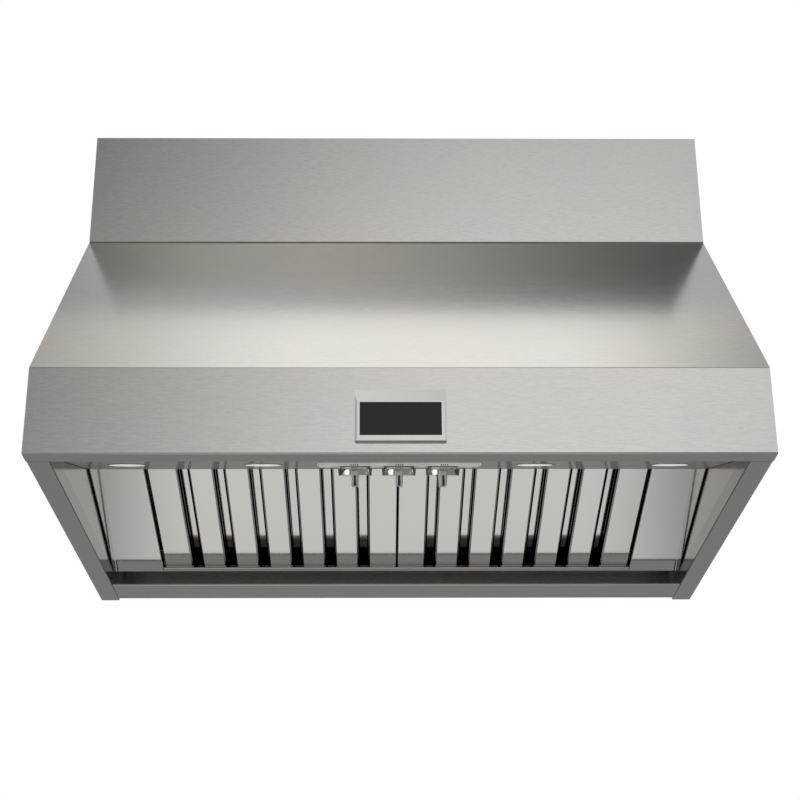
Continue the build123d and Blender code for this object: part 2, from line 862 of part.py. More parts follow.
with BuildPart() as blower_motor:
    with BuildSketch(across_axle(0)):
        Circle(motor_radius)
    extrude(amount=motor_length / 2, both=True)
    fillet(blower_motor.edges().filter_by(GeomType.CIRCLE), radius=motor_edge)
    with BuildSketch(across_axle(0)):
        Circle(motor_cap_radius)
    extrude(amount=motor_length / 2 + motor_cap_length, both=True)
    foot_spacing = motor_length - 2 * motor_foot_length
    for x in (-foot_spacing / 2, foot_spacing / 2):
        with Locations((x, blower_y, shelf_top)):
            Box(motor_foot_length, motor_foot_width, motor_drop,
                align=(Align.CENTER, Align.CENTER, Align.MIN))
    with BuildSketch(across_axle(0)):
        Circle(axle_radius + axle_play)
    extrude(amount=motor_length, both=True, mode=Mode.SUBTRACT)
save(blower_motor, "blower_motor")

with BuildPart() as blower_bracket:
    with BuildSketch(Plane.YZ.offset(-bracket_width / 2)):
        folded(
            [
                (back_in, shelf_top - bracket_foot),
                (back_in, shelf_top),
                (-bracket_reach, shelf_top),
                (-bracket_reach, shelf_top - bracket_nose),
            ],
            Side.LEFT,
            bracket_sheet,
            bend + bracket_sheet,
        )
    extrude(amount=bracket_width)
    with BuildSketch(Plane.XZ.offset(-back_in)):
        with Locations(*bracket_spots):
            Circle(screw_radius + screw_play)
    extrude(amount=2 * bracket_sheet, mode=Mode.SUBTRACT)
save(blower_bracket, "blower_bracket")

# Outlet box between the scrolls and the top panel: a floor, and four walls with a flange each
wall_height = box_ceiling - scroll_top - scroll_sheet - fit_gap
corner_gap = scroll_sheet + fit_gap
upright = (Align.CENTER, Align.CENTER, Align.MAX)
with BuildPart() as outlet_box:
    with BuildSketch(Plane.XY.offset(scroll_top)):
        with Locations((0, box_middle)):
            Rectangle(2 * box_half_width, box_length)
        for name, middle in scroll_places.items():
            with Locations((middle, outlet_middle)):
                Rectangle(outlet_width, outlet_length, mode=Mode.SUBTRACT)
            with Locations(*flange_spots[name]):
                Circle(screw_radius + screw_play, mode=Mode.SUBTRACT)
    extrude(amount=scroll_sheet)
    for y, way in ((box_front, -1), (box_back, 1)):
        with Locations((0, y - way * scroll_sheet / 2, box_ceiling)):
            Box(2 * box_half_width, scroll_sheet, wall_height, align=upright)
        with Locations((0, y + way * (box_flange - scroll_sheet) / 2, box_ceiling)):
            Box(2 * (box_half_width + box_flange), box_flange + scroll_sheet, scroll_sheet, align=upright)
    for way in (-1, 1):
        x = way * box_half_width
        with Locations((x - way * scroll_sheet / 2, box_middle, box_ceiling)):
            Box(scroll_sheet, box_length - 2 * corner_gap, wall_height, align=upright)
        with Locations((x + way * (box_flange - scroll_sheet) / 2, box_middle, box_ceiling)):
            Box(box_flange + scroll_sheet, box_length - 2 * corner_gap, scroll_sheet, align=upright)
    with BuildSketch(Plane.XY.offset(box_ceiling)):
        with Locations(*box_spots):
            Circle(screw_radius + screw_play)
    extrude(amount=-scroll_sheet, mode=Mode.SUBTRACT)
save(outlet_box, "outlet_box")

# Duct collar on the top panel, with the damper's seat inside it
seat_top = pin_z - damper_drop
with BuildPart() as duct_collar:
    with BuildSketch(Plane.XY.offset(top_z)):
        with Locations((0, duct_y)):
            Circle(duct_radius)
            Circle(duct_radius - duct_sheet, mode=Mode.SUBTRACT)
    extrude(amount=duct_height)
    with BuildSketch(Plane.XY.offset(top_z)):
        with Locations((0, duct_y)):
            Circle(duct_radius + duct_flange)
            Circle(duct_radius - duct_sheet, mode=Mode.SUBTRACT)
    extrude(amount=duct_sheet)
    with BuildSketch(Plane.XY.offset(seat_top)):
        with Locations((0, duct_y)):
            Circle(duct_radius)
            Circle(duct_radius - duct_sheet - damper_seat, mode=Mode.SUBTRACT)
    extrude(amount=-duct_sheet)
    with BuildSketch(Plane.XZ.offset(-duct_y)):
        with Locations((0, pin_z)):
            Circle(pin_radius)
    extrude(amount=duct_radius, both=True, mode=Mode.SUBTRACT)
save(duct_collar, "duct_collar")

with BuildPart() as damper_pin:
    with BuildSketch(Plane.XZ.offset(-duct_y)):
        with Locations((0, pin_z)):
            Circle(pin_radius)
    extrude(amount=duct_radius - duct_sheet / 4, both=True)
save(damper_pin, "damper_pin")

# The two flaps share the pin: their knuckles take turns along it
flap_radius = duct_radius - duct_sheet - damper_play
knuckle_step = knuckle_length + knuckle_gap
for name, way, first in (("left", -1, 0), ("right", 1, 1)):
    with BuildPart() as damper_flap:
        with BuildSketch(Plane.XY.offset(pin_z - damper_sheet / 2)):
            with Locations((0, duct_y)):
                Circle(flap_radius)
            with Locations((way * damper_notch, duct_y)):
                Rectangle(2 * flap_radius, 2 * flap_radius, mode=Mode.SUBTRACT,
                          align=(Align.MAX if way > 0 else Align.MIN, Align.CENTER))
        extrude(amount=damper_sheet)
        for index in range(first, knuckle_count, 2):
            y = duct_y + (index - (knuckle_count - 1) / 2) * knuckle_step
            with Locations((way * damper_notch, y, pin_z)):
                Box(2 * damper_notch, knuckle_length, damper_sheet)
            with BuildSketch(Plane.XZ.offset(-y)):
                with Locations((0, pin_z)):
                    Circle(knuckle_radius)
            extrude(amount=knuckle_length / 2, both=True)
        with BuildSketch(Plane.XZ.offset(-duct_y)):
            with Locations((0, pin_z)):
                Circle(pin_radius + pin_play)
        extrude(amount=duct_radius, both=True, mode=Mode.SUBTRACT)
    save(damper_flap, f"damper_flap_{name}")

# Wiring box with its cable hole, lamp driver and run capacitor, all on the back panel
with BuildPart() as wiring_box:
    wide, deep, high = wiring_size
    with Locations((wiring_x, back_in, wiring_z)):
        Box(wide, deep, high, align=(Align.CENTER, Align.MAX, Align.CENTER))
    fillet(wiring_box.edges().filter_by(Axis.Y), radius=bend)
    with Locations((wiring_x, back_in - wiring_sheet, wiring_z)):
        Box(wide - 2 * wiring_sheet, deep - 2 * wiring_sheet, high - 2 * wiring_sheet,
            align=(Align.CENTER, Align.MAX, Align.CENTER), mode=Mode.SUBTRACT)
    with BuildSketch(Plane.XZ.offset(-back_in)):
        with Locations((wiring_x, wiring_z)):
            Circle(inlet_radius)
    extrude(amount=2 * wiring_sheet, mode=Mode.SUBTRACT)
save(wiring_box, "wiring_box")

with BuildPart() as lamp_driver:
    wide, deep, high = driver_size
    with Locations((driver_x, back_in, driver_z)):
        Box(wide, deep, high, align=(Align.CENTER, Align.MAX, Align.CENTER))
    fillet(lamp_driver.edges().filter_by(Axis.Y), radius=bend)
save(lamp_driver, "lamp_driver")

with BuildPart() as run_capacitor:
    can_y = back_in - strap_sheet - capacitor_radius
    strap_low = capacitor_z + (capacitor_length - strap_width) / 2
    strap_half = capacitor_radius + strap_sheet
    with BuildSketch(Plane.XY.offset(capacitor_z)):
        with Locations((capacitor_x, can_y)):
            Circle(capacitor_radius)
    extrude(amount=capacitor_length)
    fillet(run_capacitor.edges().filter_by(GeomType.CIRCLE), radius=bend)
    # Strap around the can, with two ears on the back panel
    with BuildSketch(Plane.XY.offset(strap_low)):
        with Locations((capacitor_x, can_y)):
            Circle(strap_half)
        with Locations((capacitor_x, back_in)):
            Rectangle(2 * (strap_half + strap_ear), strap_sheet, align=(Align.CENTER, Align.MAX))
        with Locations((capacitor_x, back_in)):
            Rectangle(4 * capacitor_radius, 4 * capacitor_radius, align=(Align.CENTER, Align.MIN),
                      mode=Mode.SUBTRACT)
    extrude(amount=strap_width)
save(run_capacitor, "run_capacitor")


# Screws inside the cabinet
def add_screw(x, y, z, outward):
    """Add a pan head screw: its head stands on the point given, outwards, and its shank goes in."""
    with Locations(Plane(origin=(x, y, z), z_dir=outward)):
        Cone(screw_head_radius, screw_head_top, screw_head_height,
             align=(Align.CENTER, Align.CENTER, Align.MIN))
        Cylinder(screw_radius, screw_length, align=(Align.CENTER, Align.CENTER, Align.MAX))


with BuildPart() as cabinet_screws:
    for x, y in box_spots:
        add_screw(x, y, top_z, (0, 0, 1))
    for spots in flange_spots.values():
        for x, y in spots:
            add_screw(x, y, scroll_top - scroll_sheet, (0, 0, -1))
    for x, z in bracket_spots:
        add_screw(x, back_in - bracket_sheet, z, (0, -1, 0))
save(cabinet_screws, "cabinet_screws")
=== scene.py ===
"""Chimney range hood: the studio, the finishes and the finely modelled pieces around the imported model."""

import json
import logging
from dataclasses import dataclass, field
from enum import Enum
from math import cos, hypot, pi, radians, sin
from typing import Callable

import bmesh
import bpy
from mathutils import Matrix, Vector


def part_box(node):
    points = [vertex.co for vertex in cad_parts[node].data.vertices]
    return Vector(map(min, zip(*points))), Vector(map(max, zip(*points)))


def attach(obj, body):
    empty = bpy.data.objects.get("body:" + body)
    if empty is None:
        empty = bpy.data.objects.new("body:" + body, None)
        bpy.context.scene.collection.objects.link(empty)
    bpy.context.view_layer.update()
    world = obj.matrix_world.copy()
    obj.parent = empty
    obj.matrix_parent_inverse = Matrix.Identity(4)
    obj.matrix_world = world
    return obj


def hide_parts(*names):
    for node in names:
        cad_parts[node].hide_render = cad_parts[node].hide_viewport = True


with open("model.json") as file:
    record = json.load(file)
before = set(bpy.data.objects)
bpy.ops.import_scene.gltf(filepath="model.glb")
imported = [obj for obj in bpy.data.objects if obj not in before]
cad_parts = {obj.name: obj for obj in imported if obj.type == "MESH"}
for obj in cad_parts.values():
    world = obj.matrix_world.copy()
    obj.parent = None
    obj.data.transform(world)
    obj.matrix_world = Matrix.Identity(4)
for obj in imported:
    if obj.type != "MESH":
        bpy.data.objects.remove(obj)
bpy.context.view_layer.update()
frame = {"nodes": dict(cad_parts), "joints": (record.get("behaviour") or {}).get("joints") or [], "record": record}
LOG = logging.getLogger("range_hood")
MM = 0.001
DOUBLES = 0.001 * MM
SIDES = {"left": 1.0, "right": -1.0}
UP = (0.0, 0.0, 1.0)
FILTER_UP = (0.0, 0.2419, 0.9703)
Pair = tuple[float, float]
Triple = tuple[float, float, float]
Ramp = tuple[float, float, float, float]
Thing = bpy.types.Object
Socket = bpy.types.NodeSocket
Finishes = dict[str, bpy.types.Material]
Test = Callable[[Vector, Vector], bool]

# Spans of a noise that a finish runs over.
WIDE = (0.25, 0.75)
MEDIUM = (0.3, 0.7)
NARROW = (0.35, 0.65)


class Grain(Enum):
    """Way that a sheet's brushing runs, as the axis that it follows."""

    ACROSS = 0
    TO_WALL = 1


class Coat(Enum):
    """Surface of a part that isn't bare metal, as the size of its grain."""

    MOULDED = 0.6 * MM
    PAINTED = 1.8 * MM


class Pick(Enum):
    """What a selection in edit mode is made of."""

    FACES = "faces"
    EDGES = "edges"


class Value:
    """A number that varies over a surface. Arithmetic on it adds nodes to its board."""

    def __init__(self, board: "Board", socket: Socket) -> None:
        """Keep the board and the socket that gives the number."""
        self.board = board
        self.socket = socket

    def __add__(self, other: "Value | float") -> "Value":
        """Sum with another value."""
        return self.board.math("ADD", self, other)

    def __sub__(self, other: "Value | float") -> "Value":
        """Difference from another value."""
        return self.board.math("SUBTRACT", self, other)

    def __mul__(self, other: "Value | float") -> "Value":
        """Product with another value."""
        return self.board.math("MULTIPLY", self, other)

    def towards(self, other: "Value", share: "Value") -> "Value":
        """Value that goes from this one to another by a share."""
        return self + (other - self) * share

    def ramp(self, low: float, high: float, start: float = 0.0, end: float = 1.0) -> "Value":
        """Smooth step that gives the start at and below low, and the end at and above high."""
        node = self.board.add("ShaderNodeMapRange", self, setup={"interpolation_type": "SMOOTHSTEP"},
                              From_Min=low, From_Max=high, To_Min=start, To_Max=end)
        return Value(self.board, node.outputs["Result"])

    def bell(self, middle: float, reach: float) -> "Value":
        """Smooth hump of height 1 around a middle, which is 0 from its reach outwards."""
        away = self.board.math("ABSOLUTE", self - middle, 0.0)
        return away.ramp(0.0, reach, 1.0, 0.0)


Given = Value | Socket | float | tuple


class Board:
    """Node tree of a material or of the world, with short ways to add nodes."""

    def __init__(self, owner: bpy.types.Material | bpy.types.World) -> None:
        """Clear the owner's nodes and keep its tree.

        Args:
            owner: material or world that the nodes belong to.
        """
        owner.use_nodes = True
        self.tree = owner.node_tree
        self.tree.nodes.clear()
        self.spaces: dict[Triple, Socket] = {}

    def add(self, kind: str, *given: Given, setup: dict[str, str] | None = None,
            **named: Given) -> bpy.types.Node:
        """Add a node and fill its inputs. A value or a socket is linked, and anything else is set.

        Args:
            kind: Blender's name of the kind of node.
            *given: what goes into the first inputs, in order.
            setup: the node's own options by name, set before its inputs are filled.
            **named: what goes into other inputs, by name with underscores for spaces.

        Returns:
            The node.
        """
        node = self.tree.nodes.new(kind)
        for option, choice in (setup or {}).items():
            setattr(node, option, choice)
        inputs = list(zip(node.inputs, given))
        inputs += [(node.inputs[name.replace("_", " ")], content) for name, content in named.items()]
        for socket, content in inputs:
            source = content.socket if isinstance(content, Value) else content
            if isinstance(source, Socket):
                self.tree.links.new(source, socket)
            else:
                socket.default_value = source
        return node

    def math(self, operation: str, first: Value | float, second: Value | float) -> Value:
        """Result of an operation, by Blender's name for it, on two values or numbers."""
        node = self.add("ShaderNodeMath", first, second, setup={"operation": operation})
        return Value(self, node.outputs[0])

    def dot(self, vector: Socket, along: Triple) -> Value:
        """Length of a vector along a direction."""
        node = self.add("ShaderNodeVectorMath", vector, along, setup={"operation": "DOT_PRODUCT"})
        return Value(self, node.outputs["Value"])

    def split(self, vector: Socket) -> list[Value]:
        """The three parts of a vector."""
        node = self.add("ShaderNodeSeparateXYZ", vector)
        return [Value(self, part) for part in node.outputs]

    def place(self, scale: Triple = (1.0, 1.0, 1.0)) -> Socket:
        """Object coordinates, stretched.

        Args:
            scale: factor on each axis.

        Returns:
            The coordinates' socket.
        """
        if scale not in self.spaces:
            coordinates = self.add("ShaderNodeTexCoord").outputs["Object"]
            mapping = self.add("ShaderNodeMapping", Vector=coordinates, Scale=scale)
            self.spaces[scale] = mapping.outputs["Vector"]
        return self.spaces[scale]

    def noise(self, scale: float, detail: float, where: Socket | None = None) -> Value:
        """Soft noise from 0 to 1, on plain object coordinates if none are given."""
        node = self.add("ShaderNodeTexNoise", Vector=where or self.place(), Scale=scale, Detail=detail)
        return Value(self, node.outputs["Fac"])

    def cells(self, size: float, randomness: float) -> bpy.types.Node:
        """Cell pattern on plain object coordinates."""
        return self.add("ShaderNodeTexVoronoi", Vector=self.place(), Scale=1 / size, Randomness=randomness)

    def blend(self, factor: Value, first: Triple, second: Triple) -> Socket:
        """Colour between two others.

        Args:
            factor: 0 for the first colour, 1 for the second.
            first: the first colour.
            second: the second colour.

        Returns:
            The colour's socket.
        """
        node = self.add("ShaderNodeMix", factor, setup={"data_type": "RGBA"})
        ends = [socket for socket in node.inputs if socket.type == "RGBA"]
        for socket, colour in zip(ends, (first, second)):
            socket.default_value = (*colour, 1.0)
        return next(socket for socket in node.outputs if socket.type == "RGBA")

    def shade(self, colour: Socket, factor: Value) -> Socket:
        """Colour made lighter or darker by a factor around 1."""
        node = self.add("ShaderNodeVectorMath", colour, setup={"operation": "SCALE"}, Scale=factor)
        return node.outputs["Vector"]

    def relief(self, height: Value, strength: float, depth: float = 0.1 * MM) -> Socket:
        """Bumped normal from a height."""
        node = self.add("ShaderNodeBump", Strength=strength, Distance=depth, Height=height)
        return node.outputs["Normal"]

    def surface(self, **values: Given) -> None:
        """Add the surface shader, with its inputs by name, and the output."""
        shader = self.add("ShaderNodeBsdfPrincipled", **values)
        self.add("ShaderNodeOutputMaterial", Surface=shader.outputs["BSDF"])

    def glow(self, **values: Given) -> None:
        """Add a shader that only glows, with its inputs by name, and the output."""
        shader = self.add("ShaderNodeEmission", **values)
        self.add("ShaderNodeOutputMaterial", Surface=shader.outputs["Emission"])


@dataclass(frozen=True)
class Band:
    """Painted shade, as a change of tone by height over a plane: a step, or with a line set, a thin line."""

    point: Triple
    normal: Triple
    low: float
    high: float
    tone: float
    line: bool = False

    def factor(self, board: Board) -> Value:
        """Factor of the tone at each place.

        Args:
            board: node tree to add to.

        Returns:
            1 away from the band, and the band's tone in it.
        """
        height = board.dot(board.place(), self.normal) - sum(p * n for p, n in zip(self.point, self.normal))
        if self.line:
            middle = (self.low + self.high) / 2
            return height.bell(middle, (self.high - self.low) / 2) * (self.tone - 1.0) + 1.0
        return height.ramp(self.low, self.high, 1.0, self.tone)


@dataclass(frozen=True)
class Facing:
    """Painted shade, as a change of tone on the faces that look along a direction."""

    direction: Triple
    low: float
    high: float
    tone: float

    def factor(self, board: Board) -> Value:
        """The tone on faces that look along the direction, and 1 on the others."""
        normal = board.add("ShaderNodeNewGeometry").outputs["Normal"]
        return board.dot(normal, self.direction).ramp(self.low, self.high, 1.0, self.tone)


def tones(tone: Triple, *factors: float) -> list[Triple]:
    """A tone made lighter or darker by each of some factors."""
    return [tuple(min(1.0, part * factor) for part in tone) for factor in factors]


def around(middle: float, share: float) -> Pair:
    """Two numbers at a share below and above a middle."""
    return middle * (1 - share), middle * (1 + share)


@dataclass(frozen=True)
class Finish:
    """A finish with a name. Each kind adds its own nodes."""

    name: str

    def fill(self, board: Board) -> None:
        """Add the finish's nodes to an empty board."""
        raise NotImplementedError

    def material(self) -> bpy.types.Material:
        """Make the finish's material.

        Returns:
            The material, under the finish's name.
        """
        material = bpy.data.materials.new(self.name)
        self.fill(Board(material))
        return material


@dataclass(frozen=True)
class BrushedSteel(Finish):
    """Stainless sheet with fine scratches that run one way, in faintly warm and cool patches."""

    warm: Triple = (0.635, 0.618, 0.588)
    cool: Triple = (0.612, 0.612, 0.598)
    roughness: float = 0.14
    uneven: float = 0.03
    grain: Grain = Grain.ACROSS
    streak: float = 0.075
    streak_length: float = 12 * MM
    streak_width: float = 1.2 * MM
    hair: float = 0.35
    hair_fineness: float = 4.0
    patch: float = 0.16
    anisotropy: float = 0.3
    lie: Triple = (0.0, 0.3, 1.0)
    bump: float = 0.12
    edge_tint: float = 1.0
    metallic: float = 1.0
    level: float = 0.5
    # Bands of painted shade, each darkening the colour by place or by facing.
    bands: tuple[Band | Facing, ...] = ()

    def fill(self, board: Board) -> None:
        """Add scratches of two sizes, patches and bands of painted shade.

        Args:
            board: node tree to add to.
        """
        stretch = [1 / self.streak_width] * 3
        stretch[self.grain.value] = 1 / self.streak_length
        scratches = board.noise(1.0, 3.0, board.place(tuple(stretch)))
        hair = board.noise(1.0, 1.0, board.place(tuple(self.hair_fineness * s for s in stretch)))
        lines = scratches * (1 - self.hair) + hair * self.hair
        patches = board.noise(1 / self.patch, 2.0)
        colour = board.blend(patches.ramp(*NARROW), self.warm, self.cool)
        for band in self.bands:
            colour = board.shade(colour, band.factor(board))
        board.surface(
            Metallic=self.metallic, Anisotropic=self.anisotropy, Specular_IOR_Level=self.level,
            Specular_Tint=(*[self.edge_tint] * 3, 1.0),
            Base_Color=board.shade(colour, lines.ramp(*WIDE, 1 - self.streak, 1 + self.streak)),
            Roughness=lines.ramp(*WIDE, self.roughness - self.uneven, self.roughness + self.uneven),
            Normal=board.relief(lines, self.bump),
            Tangent=board.add("ShaderNodeCombineXYZ", *self.lie).outputs["Vector"])


@dataclass(frozen=True)
class Galvanised(Finish):
    """Zinc-coated sheet with a pattern of dull crystals."""

    light: Triple = (0.62, 0.64, 0.65)
    dark: Triple = (0.5, 0.52, 0.535)
    crystal: float = 14 * MM
    frost: float = 0.3
    frost_fineness: float = 9.0
    span: Pair = (0.1, 0.9)
    roughness: Pair = (0.34, 0.5)
    bump: float = 0.1

    def fill(self, board: Board) -> None:
        """Add crystals with a fine frost.

        Args:
            board: node tree to add to.
        """
        crystals = board.add("ShaderNodeSeparateColor", board.cells(self.crystal, 1.0).outputs["Color"])
        frost = board.noise(self.frost_fineness / self.crystal, 3.0)
        mixed = Value(board, crystals.outputs[0]) * (1 - self.frost) + frost * self.frost
        board.surface(Metallic=1.0, Base_Color=board.blend(mixed.ramp(*self.span), self.dark, self.light),
                      Roughness=mixed.ramp(*self.span, *self.roughness),
                      Normal=board.relief(mixed, self.bump))


@dataclass(frozen=True)
class SatinMetal(Finish):
    """Metal without a clear grain: blasted, drawn or lightly polished."""

    tone: Triple
    roughness: float
    uneven: float = 0.12
    grain: float = 0.5 * MM
    grain_share: float = 0.3
    cloud: float = 18 * MM
    variation: float = 0.04
    bump: float = 0.04
    depth: float = 0.05 * MM

    def fill(self, board: Board) -> None:
        """Add a fine grain in soft clouds.

        Args:
            board: node tree to add to.
        """
        grain = board.noise(1 / self.grain, 2.0)
        cloud = board.noise(1 / self.cloud, 3.0)
        mixed = cloud * (1 - self.grain_share) + grain * self.grain_share
        ends = tones(self.tone, *around(1.0, self.variation))
        board.surface(Metallic=1.0, Base_Color=board.blend(mixed.ramp(*MEDIUM), *ends),
                      Roughness=cloud.ramp(*MEDIUM, *around(self.roughness, self.uneven)),
                      Normal=board.relief(grain, self.bump, self.depth))


@dataclass(frozen=True)
class Coated(Finish):
    """Paint or moulded plastic."""

    tone: Triple
    roughness: float
    coat: Coat = Coat.MOULDED
    shine: float = 0.5
    uneven: float = 0.1
    wear: float = 30 * MM
    wear_tones: Pair = (0.9, 1.08)
    bump: float = 0.15

    def fill(self, board: Board) -> None:
        """Add a fine peel and large worn spots.

        Args:
            board: node tree to add to.
        """
        peel = board.noise(1 / self.coat.value, 2.0)
        worn = board.noise(1 / self.wear, 3.0)
        board.surface(Metallic=0.0, Specular_IOR_Level=self.shine,
                      Base_Color=board.blend(worn.ramp(*MEDIUM), *tones(self.tone, *self.wear_tones)),
                      Roughness=worn.ramp(*MEDIUM, *around(self.roughness, self.uneven)),
                      Normal=board.relief(peel, self.bump))


@dataclass(frozen=True)
class LitGlass(Finish):
    """Frosted lens of a lamp that is on."""

    glow: float = 1.0
    tone: Triple = (1.0, 0.985, 0.95)
    edge_glow: float = 0.86
    frost: Pair = (0.85, 0.75)
    prism: float = 2.2 * MM
    disorder: float = 0.15
    span: Pair = (0.1, 0.7)
    roughness: float = 0.35
    bump: float = 0.2
    depth: float = 0.3 * MM

    def fill(self, board: Board) -> None:
        """Add prisms that glow less at their edges.

        Args:
            board: node tree to add to.
        """
        facets = Value(board, board.cells(self.prism, self.disorder).outputs["Distance"])
        edge = facets.ramp(*self.span)
        board.surface(Roughness=self.roughness, Emission_Strength=self.glow,
                      Emission_Color=board.blend(edge, *tones(self.tone, 1.0, self.edge_glow)),
                      Base_Color=board.blend(edge, *((grey,) * 3 for grey in self.frost)),
                      Normal=board.relief(facets, self.bump, self.depth))


def deselect() -> None:
    """Leave edit mode and deselect everything."""
    if bpy.context.object and bpy.context.object.mode != "OBJECT":
        bpy.ops.object.mode_set(mode="OBJECT")
    bpy.ops.object.select_all(action="DESELECT")


class Workpiece:
    """A mesh modelled from a primitive with edit-mode operators, standing on its own origin."""

    def __init__(self, name: str, middle: Triple, lengths: Triple, sides: int = 4) -> None:
        """Add a box, or an upright cylinder.

        Args:
            name: name of the piece.
            middle: where its middle is.
            lengths: its lengths on the axes.
            sides: 4 for a box, or how many a cylinder has.
        """
        deselect()
        if sides == 4:
            bpy.ops.mesh.primitive_cube_add(size=1.0, location=middle)
        else:
            bpy.ops.mesh.primitive_cylinder_add(vertices=sides, radius=0.5, depth=1.0, location=middle)
        self.body = bpy.context.object
        self.body.name = name
        self.body.data.name = name
        self.body.scale = lengths
        bpy.ops.object.transform_apply(location=True, rotation=True, scale=True)
        bpy.ops.object.mode_set(mode="EDIT")
        bpy.ops.mesh.select_all(action="DESELECT")

    def pick(self, test: Test, what: Pick = Pick.FACES) -> None:
        """Select faces or edges by their place.

        Args:
            test: takes a face's middle and normal, or an edge's middle and direction.
            what: faces or edges.
        """
        faces = what is Pick.FACES
        bpy.context.tool_settings.mesh_select_mode = (False, not faces, faces)
        bpy.ops.mesh.select_all(action="DESELECT")
        shape = bmesh.from_edit_mesh(self.body.data)
        for element in shape.faces if faces else shape.edges:
            if faces:
                middle, way = element.calc_center_median(), element.normal
            else:
                start, end = (corner.co for corner in element.verts)
                middle, way = (start + end) / 2, (end - start).normalized()
            if test(middle, way):
                element.select_set(True)
        shape.select_flush_mode()
        bmesh.update_edit_mesh(self.body.data)

    def soften(self, test: Test, width: float, segments: int) -> None:
        """Round the edges that a test on their middle and direction picks."""
        self.pick(test, Pick.EDGES)
        bpy.ops.mesh.bevel(offset=width, segments=segments, affect="EDGES")

    def cut(self, point: Triple, normal: Triple) -> None:
        """Cut all faces along a plane."""
        bpy.ops.mesh.select_all(action="SELECT")
        bpy.ops.mesh.bisect(plane_co=point, plane_no=normal)

    def finish(self, smooth: float = 35.0) -> Thing:
        """Leave edit mode, turn the faces outwards and smooth them.

        Args:
            smooth: angle in degrees under which neighbouring faces look smooth.

        Returns:
            The finished object.
        """
        bpy.ops.mesh.select_all(action="SELECT")
        bpy.ops.mesh.remove_doubles(threshold=DOUBLES)
        bpy.ops.mesh.normals_make_consistent(inside=False)
        bpy.ops.object.mode_set(mode="OBJECT")
        bpy.ops.object.shade_smooth_by_angle(angle=radians(smooth))
        return self.body


def joined(name: str, pieces: list[Thing]) -> Thing:
    """Join objects into one.

    Args:
        name: name of the joined piece.
        pieces: the objects, the first of which keeps its materials first.

    Returns:
        The joined object.
    """
    deselect()
    for piece in pieces:
        piece.select_set(True)
    bpy.context.view_layer.objects.active = pieces[0]
    bpy.ops.object.join()
    pieces[0].name = name
    pieces[0].data.name = name
    return pieces[0]


def copied(model: Thing, name: str, placement: Matrix) -> Thing:
    """Copy a finished piece with its own mesh, placed in its mesh.

    Args:
        model: the piece to copy.
        name: name of the copy.
        placement: where the copy stands.

    Returns:
        The copy, with its object at the origin.
    """
    twin = bpy.data.objects.new(name, model.data.copy())
    twin.data.name = name
    twin.data.transform(placement)
    bpy.context.scene.collection.objects.link(twin)
    return twin


def discard(*models: Thing) -> None:
    """Remove models once their copies are made."""
    for model in models:
        bpy.data.objects.remove(model)


def moved(*shift: float) -> Matrix:
    """Matrix of a movement."""
    return Matrix.Translation(shift)


def standing(origin: Vector, outward: Vector) -> Matrix:
    """Placement with Z outwards at an origin, and X across the hood."""
    z, x = outward.normalized(), Vector((1.0, 0.0, 0.0))
    return moved(*origin) @ Matrix((x, z.cross(x).normalized(), z)).transposed().to_4x4()


def knob_axes(name: str) -> Matrix:
    """Placement on a knob's axis, with Z out of the panel and Y to the front."""
    turn = next(entry for entry in frame["joints"] if entry["name"] == f"knob_{name}_turn")
    return standing(Vector(turn["pos_m"]), -Vector(turn["axis"]))


def corners(points: list[Vector]) -> tuple[Vector, Vector]:
    """Lowest and highest corner of some points."""
    return tuple(Vector(tuple(pick(p[i] for p in points) for i in range(3))) for pick in (min, max))


def reach(node: str, placement: Matrix) -> tuple[Vector, Vector]:
    """Lowest and highest corner of a node, measured in a placement's own axes."""
    inverse = placement.inverted()
    return corners([inverse @ vertex.co for vertex in frame["nodes"][node].data.vertices])


def dress(piece: Thing, material: bpy.types.Material) -> None:
    """Give a new piece its material."""
    piece.data.materials.clear()
    piece.data.materials.append(material)


